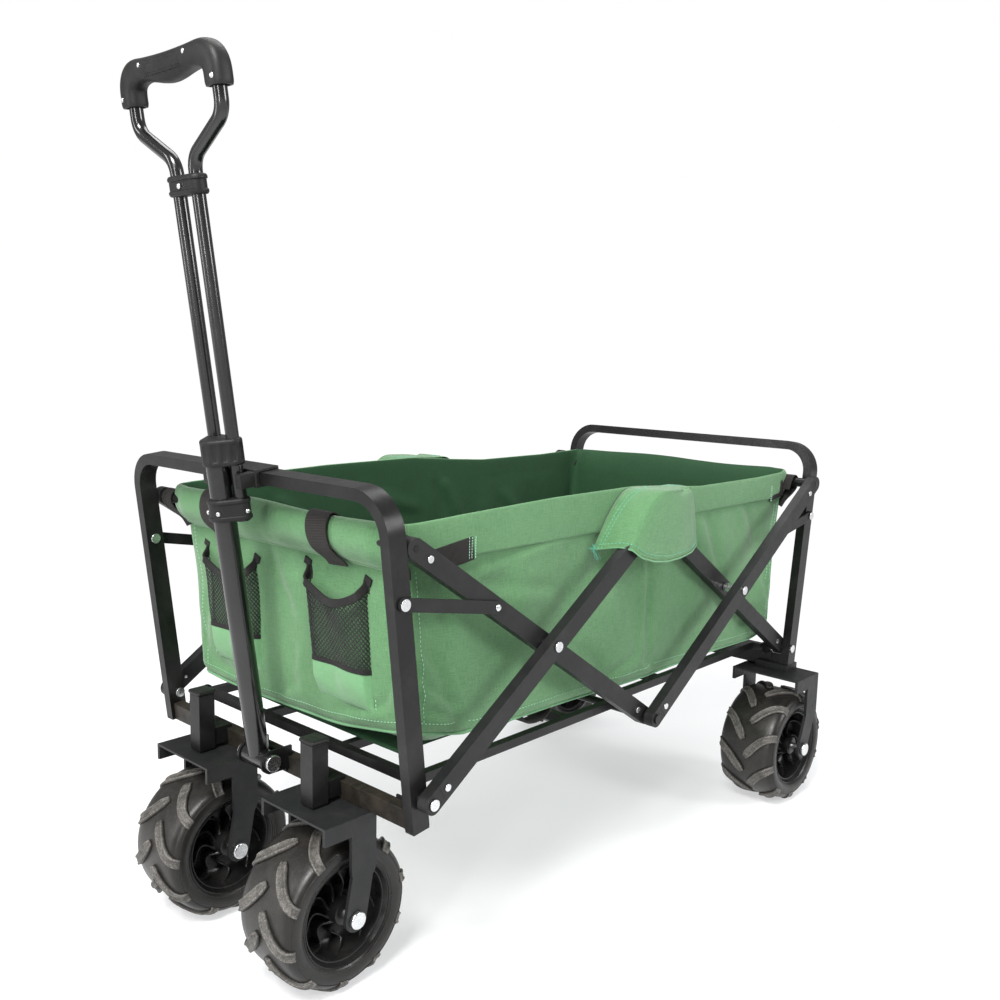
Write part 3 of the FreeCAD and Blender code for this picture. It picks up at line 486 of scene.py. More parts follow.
def stitch_line(soup, pts, outs, pitch=0.0052, length=0.0036, thick=0.0011, lift=0.0005, mat=0):
    p = np.asarray(pts, float)
    o = np.asarray(outs, float)
    if o.ndim == 1:
        o = np.repeat(o[None], len(p), 0)
    run = np.concatenate([[0], np.cumsum(np.linalg.norm(np.diff(p, axis=0), axis=1))])
    s = np.arange(pitch / 2, run[-1], pitch)
    q = np.stack([np.interp(s, run, p[:, i]) for i in range(3)], 1)
    q2 = np.stack([np.interp(s + 0.001, run, p[:, i]) for i in range(3)], 1)
    q1 = np.stack([np.interp(s - 0.001, run, p[:, i]) for i in range(3)], 1)
    n = np.stack([np.interp(s, run, o[:, i]) for i in range(3)], 1)
    n /= np.linalg.norm(n, axis=1)[:, None] + 1e-12
    for i in range(len(s)):
        d = q2[i] - q1[i]
        if np.linalg.norm(d) < 1e-9:
            continue
        v, f = bead(q[i] + n[i] * lift, d, n[i], length, thick)
        soup.add(v, f, mat=mat)
    return soup


def smooth(x, a, b):
    t = np.clip((np.asarray(x, float) - a) / (b - a), 0, 1)
    return t * t * (3 - 2 * t)


def ripple(u, v, seed, n=7, lo=3.0, hi=16.0):
    """Smooth seeded field of a few sines, about -1 to 1; lo and hi are waves per metre."""
    r = np.random.default_rng(seed)
    u, v = np.asarray(u, float), np.asarray(v, float)
    out = np.zeros(np.broadcast(u, v).shape)
    tot = 0.0
    for _ in range(n):
        k = r.uniform(lo, hi)
        th = r.uniform(0, math.pi)
        ph = r.uniform(0, 2 * math.pi)
        a = 1.0 / math.sqrt(k)
        out += a * np.sin(2 * math.pi * k * (u * math.cos(th) + v * math.sin(th)) + ph)
        tot += a
    return out / tot * 1.8


# ------------------------------------------------------------------ finish of the CAD nodes
FINISH = {
    "front_hoop": M_FRAME, "rear_hoop": M_FRAME, "front_crossbar": M_DUSTY, "rear_crossbar": M_FRAME,
    "front_feet": M_PLASTIC, "rear_feet": M_PLASTIC, "caster_posts": M_FRAME, "caster_post_caps": M_PLASTIC,
    "handle_bracket": M_FRAME, "handle_hinge_bolt": M_ZINC, "handle_rest_clip": M_PLASTIC,
    "front_pivot_pins": M_ZINC, "rear_pivot_pins": M_ZINC, "front_link_pins": M_ZINC, "rear_link_pins": M_ZINC,
    "floor_lugs_front": M_FRAME, "floor_lugs_rear": M_FRAME, "outer_front_bars": M_BARS, "inner_front_bars": M_BARS,
    "inner_rear_bars": M_BARS, "outer_rear_bars": M_BARS, "outer_front_bar_inserts": M_PLASTIC,
    "inner_front_bar_inserts": M_PLASTIC, "inner_rear_bar_inserts": M_PLASTIC, "outer_rear_bar_inserts": M_PLASTIC,
    "outer_front_rivets": M_ZINC, "inner_front_rivets": M_ZINC, "inner_rear_rivets": M_ZINC, "outer_rear_rivets": M_ZINC,
    "centre_axle": M_FRAME, "front_hem_tube": M_FRAME, "rear_hem_tube": M_FRAME, "rear_forks": M_ARM,
    "rear_axle_bolts": M_ZINC, "front_links": M_BARS, "rear_links": M_BARS, "floor_frame_front": M_FRAME,
    "floor_frame_rear": M_FRAME, "caster_fork_left": M_ARM, "caster_fork_right": M_ARM, "caster_bolt_left": M_ZINC,
    "caster_bolt_right": M_ZINC, "handle_main_tube": M_GLOSS, "handle_rods": M_GLOSS,
}
BEVEL = {"caster_post_caps": 3.0, "handle_rest_clip": 2.5, "caster_posts": 1.6, "front_hoop": 2.2, "rear_hoop": 2.2,
         "outer_front_bars": 2.2, "inner_front_bars": 2.2, "inner_rear_bars": 2.2, "outer_rear_bars": 2.2,
         "outer_front_bar_inserts": 1.6, "inner_front_bar_inserts": 1.6, "inner_rear_bar_inserts": 1.6, "outer_rear_bar_inserts": 1.6,
         "floor_frame_front": 1.4, "floor_frame_rear": 1.4, "front_crossbar": 1.6, "rear_crossbar": 1.6,
         "caster_fork_left": 1.3, "caster_fork_right": 1.3, "rear_forks": 1.3, "front_links": 0.9, "rear_links": 0.9,
         "handle_bracket": 0.9, "floor_lugs_front": 0.7, "floor_lugs_rear": 0.7, "front_feet": 1.0, "rear_feet": 1.0,
         "handle_hinge_bolt": 1.2, "rear_axle_bolts": 2.0, "caster_bolt_left": 2.0, "caster_bolt_right": 2.0,
         "front_pivot_pins": 0.7, "rear_pivot_pins": 0.7, "front_link_pins": 0.6, "rear_link_pins": 0.6,
         "outer_front_rivets": 0.6, "inner_front_rivets": 0.5, "inner_rear_rivets": 0.3, "outer_rear_rivets": 0.6, "grip_screws": 0.7}


def soften(o, width, segments=3):
    wd = o.modifiers.new("Weld", "WELD")
    wd.merge_threshold = 0.00002
    flat = o.modifiers.new("FlatFaces", "DECIMATE")
    flat.decimate_type = "DISSOLVE"
    flat.angle_limit = math.radians(0.6)
    bv = o.modifiers.new("Bevel", "BEVEL")
    bv.width = width * MM
    bv.segments = segments
    bv.limit_method = "ANGLE"
    bv.angle_limit = math.radians(38)
    bv.use_clamp_overlap = True
    bv.miter_outer = "MITER_ARC"
    bv.harden_normals = True
    wn_ = o.modifiers.new("WeightedNormal", "WEIGHTED_NORMAL")
    wn_.weight = 80
    wn_.keep_sharp = False


for n, m in FINISH.items():
    o = nodes[n]
    o.data.materials.clear()
    o.data.materials.append(m)
    if n in BEVEL:
        soften(o, BEVEL[n], 2 if BEVEL[n] < 1 else 3)


# ------------------------------------------------------------------ wheels
LINK_ENDS = {}
for link, sgx in (("front_links", 1), ("rear_links", -1)):
    o = nodes[link]
    w_ = np.array([tuple(o.matrix_world @ vt.co) for vt in o.data.vertices])
    for sgy in (-1, 1):
        q_ = w_[w_[:, 1] * sgy > 0]
        tip = q_[:, 0].max() if sgx > 0 else q_[:, 0].min()
        near_tip = q_[np.abs(q_[:, 0] - tip) < 0.0016]
        LINK_ENDS[(link, sgy)] = (tip - sgx * 0.008, (q_[:, 1] * sgy).max() * sgy, float(near_tip[:, 2].mean()))


def wheel(who, cx, cy, tyre_node, rim_node, body, sweep, phase):
    cx, cy, R = cx * MM, cy * MM, 0.1

    def at(r, th, y):
        return np.array([cx + r * math.cos(th), cy + y, R + r * math.sin(th)])

    half = [(62.5, 42.5), (65.5, 46.5), (70, 49.6), (76, 51.2), (82, 51.0), (87, 48.6), (90.5, 44.5), (92.6, 38.5), (93.8, 30), (94.4, 18), (94.6, 6)]
    prof = [(r, -y) for r, y in half] + [(r, y) for r, y in reversed(half)] + [(61.6, 38.0), (61.6, -38.0)]
    N = 120
    s = Soup()
    pts, uv, mark = [], [], []
    for i in range(N):
        th = i / N * 2 * math.pi
        for j, (r, y) in enumerate(prof):
            wob = 0.25 * math.sin(3 * th + 1) + 0.15 * math.sin(7 * th)
            pts.append(at((r + wob * (r > 80)) * MM, th, y * MM))
            uv.append((th * 0.1, j * 0.01))
            mark.append(0.10 if abs(y) < 40 and r > 90 else 0.0)
    s.add(pts, grid_faces(N, len(prof), True, True), uv, 0, mark)
    # raised ring lines moulded on the sidewall
    for sg in (1, -1):
        for r0, y0, rr in ((69.0, 49.2, 0.8), (84.5, 50.2, 0.5)):
            ring = [at(r0 * MM, k / 96 * 2 * math.pi, sg * y0 * MM) for k in range(97)]
            v, f, u = tube(ring, rr * MM, 6)
            s.add(v, f, u, 0, 0.05)
    # tractor lugs: two staggered rows, blunt inner ends, swept to the shoulder
    run = np.array([(94.5, 3.5), (94.4, 10), (94.4, 18), (93.8, 30), (92.6, 38.5), (90.5, 44.5), (87, 48.6), (82.5, 50.9)])
    d = np.concatenate([[0], np.cumsum(np.linalg.norm(np.diff(run, axis=0), axis=1))])
    L = d[-1]
    K = 15
    for sg in (1, -1):
        for i in range(10):
            th0 = phase + (i + (0.5 if sg > 0 else 0.0)) / 10 * 2 * math.pi
            cen, nor = [], []
            for k in range(K):
                q = k / (K - 1)
                rr, yy = np.interp(q * L, d, run[:, 0]), np.interp(q * L, d, run[:, 1])
                r2, y2 = np.interp(min(L, q * L + 1.5), d, run[:, 0]), np.interp(min(L, q * L + 1.5), d, run[:, 1])
                r1, y1 = np.interp(max(0, q * L - 1.5), d, run[:, 0]), np.interp(max(0, q * L - 1.5), d, run[:, 1])
                tn = np.array([r2 - r1, y2 - y1])
                tn /= np.linalg.norm(tn)
                n2 = np.array([tn[1], -tn[0]])
                th = th0 + sweep * 0.47 * (1 - (1 - q) ** 1.75)
                cen.append(at(rr * MM, th, sg * yy * MM))
                nor.append(np.array([n2[0] * math.cos(th), sg * n2[1], n2[0] * math.sin(th)]))
            cen, nor = np.array(cen), np.array(nor)
            t = np.gradient(cen, axis=0)
            t /= np.linalg.norm(t, axis=1)[:, None]
            side = np.cross(nor, t)
            side /= np.linalg.norm(side, axis=1)[:, None]
            rows, uvr, mk = [], [], []
            for k in range(K):
                q = k / (K - 1)
                w = (14.2 - 2.0 * q) * (1 - 0.42 * math.exp(-(q / 0.07) ** 2)) * MM
                h = (5.3 - 2.6 * smooth(q, 0.55, 0.97)) * (1 - 0.30 * math.exp(-(q / 0.05) ** 2)) * MM
                if q > 0.99:
                    h *= 0.55
                e = w / 2
                g = 0.9 * MM
                ring = [(-e - 1.3 * MM, -1.2 * MM, 0), (-e - 0.4 * MM, h * 0.35, 0.15), (-e, h * 0.86, 0.9), (-e + 0.9 * MM, h, 1.0), (-e + 2.0 * MM, h, 1.0),
                        (-e + 2.7 * MM, h - g, 0.75), (e - 2.7 * MM, h - g, 0.75), (e - 2.0 * MM, h, 1.0), (e - 0.9 * MM, h, 1.0), (e, h * 0.86, 0.9),
                        (e + 0.4 * MM, h * 0.35, 0.15), (e + 1.3 * MM, -1.2 * MM, 0)]
                for a, b, m in ring:
                    rows.append(cen[k] + side[k] * a + nor[k] * b)
                    uvr.append((q * 0.06, a))
                    mk.append(m)
            c = 12
            f = grid_faces(K, c, wrap_cols=True)
            f.append(tuple(range(c - 1, -1, -1)))
            f.append(tuple((K - 1) * c + j for j in range(c)))
            if sg < 0:
                f = [tuple(reversed(x)) for x in f]
            s.add(rows, f, uvr, 0, mk)
    tyre = s.build(who + "_tyre_moulding", M_TYRE, True, "lug_top")
    fix_normals(tyre)
    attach(tyre, body)
    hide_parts(tyre_node)

    # rim: two lips, a dish each side, S-shaped ribs and a hub
    s = Soup()
    hp = [(6.4, 43.0), (13.5, 43.0), (15.2, 41.6), (16.2, 30), (17.6, 12), (20.5, 6.8), (26, 5.2), (46, 6.0), (52.5, 9.5), (55.6, 17), (56.8, 33),
          (57.6, 40.5), (58.6, 42.4), (60.0, 42.6), (61.0, 41.4), (62.0, 42.4), (63.0, 46.0), (64.4, 47.6), (66.0, 47.2), (66.8, 45.2), (62.6, 41.2)]
    prof = [(r, -y) for r, y in reversed(hp)] + [(r, y) for r, y in hp]
    prof = [(6.4, -43.0)] + [(r, -y) for r, y in hp[1:]] + [(60.5, -36), (60.5, 36)] + [(r, y) for r, y in reversed(hp[1:])] + [(6.4, 43.0)]
    N = 96
    pts, uv = [], []
    for i in range(N):
        th = i / N * 2 * math.pi
        for j, (r, y) in enumerate(prof):
            pts.append(at(r * MM, th, y * MM))
            uv.append((th * 0.06, j * 0.01))
    s.add(pts, grid_faces(N, len(prof), True, True), uv)
    for sg in (1, -1):
        for i in range(9):
            th0 = i / 9 * 2 * math.pi + (0.35 if sg > 0 else 0)
            K = 16
            rows, uvr = [], []
            for k in range(K):
                u = k / (K - 1)
                r = 15.5 + u * 42.5
                th = th0 + sg * (0.34 * math.sin(2 * math.pi * u) * (1 - 0.35 * u) + 0.30 * u)
                r2 = r + 0.1
                th2 = th0 + sg * (0.34 * math.sin(2 * math.pi * (u + 0.0023)) * (1 - 0.35 * u) + 0.30 * (u + 0.0023))
                c0, c1 = at(r * MM, th, 0), at(r2 * MM, th2, 0)
                t = c1 - c0
                t /= np.linalg.norm(t)
                sd = np.cross(t, np.array([0, 1.0, 0]))
                e = (1.35 + 0.5 * (1 - math.sin(math.pi * u))) * MM
                top = (30.0 - 13.5 * math.sin(math.pi * u) + 3.0 * u) * MM
                for a, b in ((-e * 1.35, 4 * MM), (-e, top - 1.0 * MM), (-e * 0.5, top), (e * 0.5, top), (e, top - 1.0 * MM), (e * 1.35, 4 * MM)):
                    rows.append(c0 + sd * a + np.array([0, sg * b, 0]))
                    uvr.append((u * 0.05, b))
            f = grid_faces(K, 6, wrap_cols=True)
            f.append(tuple(range(5, -1, -1)))
            f.append(tuple((K - 1) * 6 + j for j in range(6)))
            s.add(rows, f, uvr)
    rim = s.build(who + "_rim_moulding", M_RIM, True)
    fix_normals(rim)
    sharpen(rim, 42)
    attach(rim, body)
    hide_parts(rim_node)


def fix_normals(o):
    """Every closed island faces outwards."""
    import bmesh
    bm = bmesh.new()
    bm.from_mesh(o.data)
    bmesh.ops.recalc_face_normals(bm, faces=bm.faces)
    bm.to_mesh(o.data)
    bm.free()


def sharpen(o, degrees):
    """Marks edges steeper than the angle as sharp."""
    import bmesh
    bm = bmesh.new()
    bm.from_mesh(o.data)
    lim = math.radians(degrees)
    for e in bm.edges:
        if len(e.link_faces) == 2 and e.calc_face_angle(0) > lim:
            e.smooth = False
    bm.to_mesh(o.data)
    bm.free()


wheel("front_left", -476, 124, "front_tyre_left", "front_rim_left", "wheel_front_left", 1, 0.10)
wheel("front_right", -476, -124, "front_tyre_right", "front_rim_right", "wheel_front_right", 1, 0.38)
wheel("rear_left", 430, 248, "rear_tyre_left", "rear_rim_left", "wheel_rear_left", -1, 0.22)
wheel("rear_right", 430, -248, "rear_tyre_right", "rear_rim_right", "wheel_rear_right", -1, 0.05)


# ------------------------------------------------------------------ pull handle
HL = math.radians(8.12)


def on_handle(up_, back=0.0, y=0.0):
    """Millimetres up the handle, towards the wagon and across, to metres."""
    return np.array([(-484 + back * math.cos(HL) - up_ * math.sin(HL)) * MM, y * MM,
                     (253 + back * math.sin(HL) + up_ * math.cos(HL)) * MM])


H_UP = on_handle(1000) - on_handle(0)
H_UP /= np.linalg.norm(H_UP)
H_BACK = on_handle(0, 1000) - on_handle(0)
H_BACK /= np.linalg.norm(H_BACK)


def collar(name, up_a, up_b, main_r, rod_r, node, body, ribs, lip):
    """Moulded clamp whose outline is the hull of the main tube and the two rods."""
    circles = [(0.0, 0.0, main_r), (13.5, 19.5, rod_r), (13.5, -19.5, rod_r)] if main_r else [(13.5, 19.5, rod_r), (13.5, -19.5, rod_r)]
    N = 84
    outline = []
    for i in range(N):
        a = i / N * 2 * math.pi
        best = max(circles, key=lambda c: c[0] * math.cos(a) + c[1] * math.sin(a) + c[2])
        outline.append((best[0] + best[2] * math.cos(a), best[1] + best[2] * math.sin(a)))
    outline = np.array(outline)
    # even spacing along the outline
    closed = np.vstack([outline, outline[:1]])
    d = np.concatenate([[0], np.cumsum(np.linalg.norm(np.diff(closed, axis=0), axis=1))])
    q = np.linspace(0, d[-1], N, endpoint=False)
    outline = np.stack([np.interp(q, d, closed[:, 0]), np.interp(q, d, closed[:, 1])], 1)
    nrm = np.roll(outline, -1, 0) - np.roll(outline, 1, 0)
    nrm = np.stack([nrm[:, 1], -nrm[:, 0]], 1)
    nrm /= np.linalg.norm(nrm, axis=1)[:, None]
    hgt = up_b - up_a
    rows = [(0.0, -3.2), (0.4, -1.2), (1.4, -0.2), (3.0, 0.0 + lip), (5.5, 0.0 + lip), (6.5, -0.8), (hgt * 0.5, -0.8), (hgt - 6.5, -0.8),
            (hgt - 5.5, lip), (hgt - 3.0, lip), (hgt - 1.4, -0.2), (hgt - 0.4, -1.2), (hgt, -3.2)]
    v, uv = [], []
    for (z, o) in rows:
        for i in range(N):
            rib = 0.0
            if ribs and 6 < z < hgt - 6 and (i // 3) % 2 == 0:
                rib = 1.1
            p = outline[i] + nrm[i] * (o + rib)
            v.append(on_handle(up_a + z, p[0], p[1]))
            uv.append((q[i] * MM, z * MM))
    f = grid_faces(len(rows), N, wrap_cols=True)
    k = len(v)
    v.append(on_handle(up_a, 6 if main_r else 13.5, 0))
    v.append(on_handle(up_b, 6 if main_r else 13.5, 0))
    uv += [(0, 0), (0, 0)]
    for i in range(N):
        f.append((k, (i + 1) % N, i))
        f.append((k + 1, (len(rows) - 1) * N + i, (len(rows) - 1) * N + (i + 1) % N))
    o = Soup().add(v, f, uv).build(name, M_PLASTIC, True)
    fix_normals(o)
    sharpen(o, 40)
    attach(o, body)
    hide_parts(node)


collar("upper_collar_moulding", 387.5, 420.5, 17.2, 10.8, "handle_upper_collar", "handle_lower", True, 0.3)
collar("lower_collar_moulding", 319.5, 347.5, 18.6, 11.4, "handle_lower_collar", "handle_slider", False, 0.3)
collar("yoke_moulding", 700.0, 723.0, 0, 11.6, "handle_yoke", "handle_slider", False, 0.6)


def dome(soup, at, out, r, h, mat=0, seg=16):
    """Low rivet or screw head."""
    out = np.asarray(out, float)
    out = out / np.linalg.norm(out)
    ref = np.array([0, 0, 1.0]) if abs(out[2]) < 0.9 else np.array([1.0, 0, 0])
    a = np.cross(out, ref)
    a /= np.linalg.norm(a)
    b = np.cross(out, a)
    at = np.asarray(at, float)
    v = []
    lv = [(1.0, -0.6), (1.0, 0.12), (0.93, 0.42), (0.72, 0.78), (0.40, 0.97)]
    for rr, hh in lv:
        for i in range(seg):
            g = i / seg * 2 * math.pi
            v.append(at + (a * math.cos(g) + b * math.sin(g)) * r * rr + out * h * hh)
    f = grid_faces(len(lv), seg, wrap_cols=True)
    v.append(at + out * h)
    v.append(at - out * h * 0.6)
    for i in range(seg):
        f.append((len(v) - 2, (len(lv) - 1) * seg + i, (len(lv) - 1) * seg + (i + 1) % seg))
        f.append((len(v) - 1, (i + 1) % seg, i))
    soup.add(v, f, mat=mat)


s = Soup()
for y, b in ((-11, -15.2), (11, -15.2)):
    dome(s, on_handle(331, b, y), -H_BACK + np.array([0, np.sign(y) * 0.55, 0]), 2.9 * MM, 1.6 * MM)
for y in (-31.0, 31.0):
    dome(s, on_handle(331, 13.5, y), np.array([0, np.sign(y), 0.0]), 2.9 * MM, 1.6 * MM)
rv = s.build("lower_collar_rivets", M_ZINC)
fix_normals(rv)
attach(rv, "handle_slider")
s = Soup()
dome(s, on_handle(711, 1.2, 0), -H_BACK, 3.4 * MM, 2.0 * MM)
rv = s.build("yoke_screw", M_ZINC)
fix_normals(rv)
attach(rv, "handle_slider")


def grip():
    """D-grip: moulded legs over both rods, arched bar with a palm swell."""
    half = [(-88.0, 806.0), (-88.0, 808), (-88.0, 813), (-87.9, 819), (-87.2, 825.5), (-84.6, 831.5), (-79.5, 836.5), (-72.0, 840), (-62.0, 842.0), (-50.0, 842.8),
            (-36.0, 842.6), (-20.0, 842.2), (-7.0, 842.0)]
    path = half + [(-y, u) for y, u in reversed(half)]
    p = np.array(path)
    # resample
    d = np.concatenate([[0], np.cumsum(np.linalg.norm(np.diff(p, axis=0), axis=1))])
    q = np.linspace(0, d[-1], 110)
    c = np.stack([np.interp(q, d, p[:, 0]), np.interp(q, d, p[:, 1])], 1)
    for _ in range(5):
        c[1:-1] = (c[:-2] + 2 * c[1:-1] + c[2:]) / 4
    t = np.gradient(c, axis=0)
    t /= np.linalg.norm(t, axis=1)[:, None]
    n = np.stack([-t[:, 1], t[:, 0]], 1)  # outwards (left of travel)
    N = 40
    v, uv = [], []
    for i in range(len(c)):
        f = q[i] / d[-1]
        m = min(f, 1 - f) * d[-1]  # distance from the nearest end
        bar = smooth(m, 26, 66)
        w_out = 16.0 * (1 - bar) + 12.0 * bar
        w_in = 15.0 * (1 - bar) + 13.0 * bar
        w_in += 7.5 * math.exp(-((f - 0.5) / 0.16) ** 2)  # palm swell below the bar
        w_out += 2.0 * math.exp(-((m - 40) / 22.0) ** 2)
        thick = 13.2 * (1 - bar) + 14.0 * bar
        if m < 3.0:
            k = 1 - 0.06 * (1 - m / 3.0)
            w_out, w_in, thick = w_out * k, w_in * k, thick * k
        for j in range(N):
            a = j / N * 2 * math.pi
            ca, sa = math.cos(a), math.sin(a)
            e = 2.0 / 2.7
            x = math.copysign(abs(ca) ** e, ca)
            z = math.copysign(abs(sa) ** e, sa)
            rad = w_out if x > 0 else w_in
            pt = c[i] + n[i] * x * rad
            v.append(on_handle(pt[1], 13.5 + z * thick, pt[0]))
            uv.append((a * 0.02, q[i] * MM))
    f = grid_faces(len(c), N, wrap_cols=True)
    # hollow leg mouths: a recess ring round each rod
    base = len(v)
    for end, i in ((0, 0), (1, len(c) - 1)):
        for k, (sc, dip) in enumerate(((0.80, 0.0), (0.74, 6.0), (0.42, 6.0))):
            for j in range(N):
                src = np.array(v[(0 if end == 0 else (len(c) - 1) * N) + j])
                ctr = on_handle(c[i][1], 13.5, c[i][0])
                v.append(ctr + (src - ctr) * sc + H_UP * dip * MM)
                uv.append((j * 0.002, k * 0.002))
    for end in (0, 1):
        outer = 0 if end == 0 else (len(c) - 1) * N
        rings = [outer] + [base + end * 3 * N + k * N for k in range(3)]
        for a, b in zip(rings[:-1], rings[1:]):
            for j in range(N):
                f.append((a + j, a + (j + 1) % N, b + (j + 1) % N, b + j))
        k = len(v)
        v.append(on_handle(c[0][1] + 6, 13.5, c[0][0] if end == 0 else c[-1][0]))
        uv.append((0, 0))
        for j in range(N):
            f.append((k, rings[-1] + j, rings[-1] + (j + 1) % N))
    s = Soup().add(v, f, uv)
    # a patch of raised grip bars on the face
    for row, z in enumerate((-9.0, -5.4, -1.8, 1.8, 5.4)):
        for k in range(19):
            y = (k - 9) * 4.7 + (2.35 if row % 2 else 0)
            if abs(y) > 43:
                continue
            pt = on_handle(840.5 + z * 0.95, 13.5 - 13.7, y * 0.86)
            v2, f2 = bead(pt, H_UP * 0.25 + np.array([0, 1.0, 0]), -H_BACK, 2.9 * MM, 1.5 * MM)
            s.add(v2, f2)
    g = s.build("d_grip_moulding", M_PLASTIC, True)
    fix_normals(g)
    sharpen(g, 55)
    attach(g, "handle_slider")
    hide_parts("handle_grip")


grip()
s = Soup()
for y, u, b in ((-47, 846, 0.6), (47, 846, 0.6), (-94, 815, 1.4), (94, 815, 1.4)):
    dome(s, on_handle(u, b, y), -H_BACK + np.array([0, np.sign(y) * (0.35 if abs(y) > 60 else 0.0), 0]), 3.1 * MM, 1.7 * MM)
gs = s.build("grip_screw_heads", M_ZINC)
fix_normals(gs)
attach(gs, "handle_slider")
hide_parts("grip_screws")

for link, body in (("front_links", "front_link_pair"), ("rear_links", "rear_link_pair")):
    s = Soup()
    for sgy in (-1, 1):
        lx, ly, lz = LINK_ENDS[(link, sgy)]
        dome(s, (lx, ly, lz), (0, sgy, 0), 4.4 * MM, 1.7 * MM)
    lr = s.build(link + "_rivet_heads", M_ZINC)
    fix_normals(lr)
    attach(lr, body)


def soft(o):
    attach(o, "bag_body")
    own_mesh(o)
    return o


def half_long(z):
    return 424.0 + 16.0 * (np.asarray(z, float) - 280.0) / 304.0 + 7.0 * smooth(z, 440.0, 545.0)


HW = 233.6
RC = 15.0
NX, NY, NC = 98, 52, 5


def stations():
    """Closed loop of unit stations: kind, parameter and outward direction."""
    st = []
    for i in range(NY // 2):
        st.append(("r", i / (NY / 2.0), (1.0, 0.0)))
    for i in range(NC):
        a = i / NC * math.pi / 2
        st.append(("c0", a, (math.cos(a), math.sin(a))))
    for i in range(NX):
        st.append(("l", 1 - 2 * i / NX, (0.0, 1.0)))
    for i in range(NC):
        a = math.pi / 2 + i / NC * math.pi / 2
        st.append(("c1", a, (math.cos(a), math.sin(a))))
    for i in range(NY):
        st.append(("f", 1 - 2 * i / NY, (-1.0, 0.0)))
    for i in range(NC):
        a = math.pi + i / NC * math.pi / 2
        st.append(("c2", a, (math.cos(a), math.sin(a))))
    for i in range(NX):
        st.append(("s", -1 + 2 * i / NX, (0.0, -1.0)))
    for i in range(NC):
        a = 1.5 * math.pi + i / NC * math.pi / 2
        st.append(("c3", a, (math.cos(a), math.sin(a))))
    for i in range(NY // 2):
        st.append(("r", -1 + i / (NY / 2.0), (1.0, 0.0)))
    return st


ST = stations()


def plan(st, a, b):
    kind, q, _ = st
    if kind == "r":
        return (a, q * (b - RC))
    if kind == "f":
        return (-a, q * (b - RC))
    if kind == "l":
        return (q * (a - RC), b)
    if kind == "s":
        return (q * (a - RC), -b)
    cx = (a - RC) * (1 if kind in ("c0", "c3") else -1)
    cy = (b - RC) * (1 if kind in ("c0", "c1") else -1)
    return (cx + RC * math.cos(q), cy + RC * math.sin(q))


def low_edge(st):
    """Height of the bottom seam: lifted at the corners, low where the floor carries it."""
    kind, q, _ = st
    x, y = plan(st, 424, HW)
    near = np.interp(x, [-424, -408, -340, -263, -139, 26, 120, 242, 379, 424], [332, 326, 311, 305, 303, 297, 298, 298, 294, 306])
    far = np.interp(x, [-424, -300, 0, 300, 424], [305, 299, 290, 296, 304])
    front = np.interp(y, [-235, -199, -132, -82, -25, 55, 162, 228, 235], [331, 323, 312, 304, 303, 301, 300, 303, 305])
    rear = np.interp(y, [-235, 0, 235], [306, 290, 303])
    if kind == "s":
        return float(near)
    if kind == "l":
        return float(far)
    if kind == "f":
        return float(front)
    if kind == "r":
        return float(rear)
    return float({"c0": 303.5, "c1": 305.0, "c2": 331.5, "c3": 306.0}[kind])


def top_edge(x, sgn):
    z = np.interp(x, [-440, -323, -188, -4, 90, 173, 345, 440], [584, 588, 592, 592.5, 584, 578, 578, 581])
    return z


PANEL_TOP = 545.0
NR = 30
SLEEVE = [(1.0, 551), (2.5, 558), (4.5, 566), (8, 575), (12, 581.5), (17, 585), (22.5, 583), (27, 576.5), (28.8, 566), (28.0, 556), (24.5, 547), (18, 539), (10.5, 533.5), (4.6, 530.5), (2.8, 527)]
HEM_F = [0.15, 0.35, 0.55, 0.75, 0.92, 1.0, 0.99, 0.9, 0.7, 0.5, 0.3, 0.12, 0.0, -0.12, -0.2]
HEM_O = [0.0, 0.0, 0.0, 0.0, 0.3, 1.1, 2.0, 2.6, 2.8, 2.8, 2.8, 2.8, 2.6, 2.3, 1.9]


def bag_rest():
    rows = []
    low = [low_edge(s_) for s_ in ST]
    # soften the bottom seam line round the corners
    low = np.array(low)
    for _ in range(6):
        low = (np.roll(low, 1) + 2 * low + np.roll(low, -1)) / 4
    for k in range(NR + 1):
        t = k / NR
        row = []
        for i, st in enumerate(ST):
            z = low[i] + (PANEL_TOP - low[i]) * t
            x, y = plan(st, float(half_long(z)), HW)
            h = z - low[i]
            tuck = 6.0 * max(0.0, 1 - h / 13.0) ** 2
            row.append((x - st[2][0] * tuck, y - st[2][1] * tuck, z))
        rows.append(row)
    for k in range(len(SLEEVE)):
        row = []
        for i, st in enumerate(ST):
            x, y = plan(st, float(half_long(PANEL_TOP)), HW)
            w = smooth(abs(st[2][0]), 0.55, 1.0) * (1 - 0.25 * smooth(abs(y), 196, 214))
            zt = top_edge(x, np.sign(y))
            zs = PANEL_TOP + (zt - PANEL_TOP) * HEM_F[k]
            so, sz = SLEEVE[k]
            sz = sz + 1.8 * math.sin(y * 0.021 + 0.6) * (sz - 545) / 40.0
            o = HEM_O[k] * (1 - w) + so * w
            z = zs * (1 - w) + sz * w
            row.append((x + st[2][0] * o, y + st[2][1] * o, z))
        rows.append(row)
    return np.array(rows) * MM, low * MM


REST, LOW = bag_rest()
ROWS, COLS = REST.shape[:2]
OUT = np.array([[s_[2][0], s_[2][1], 0.0] for s_ in ST])
KIND = np.array([s_[0][0] for s_ in ST])


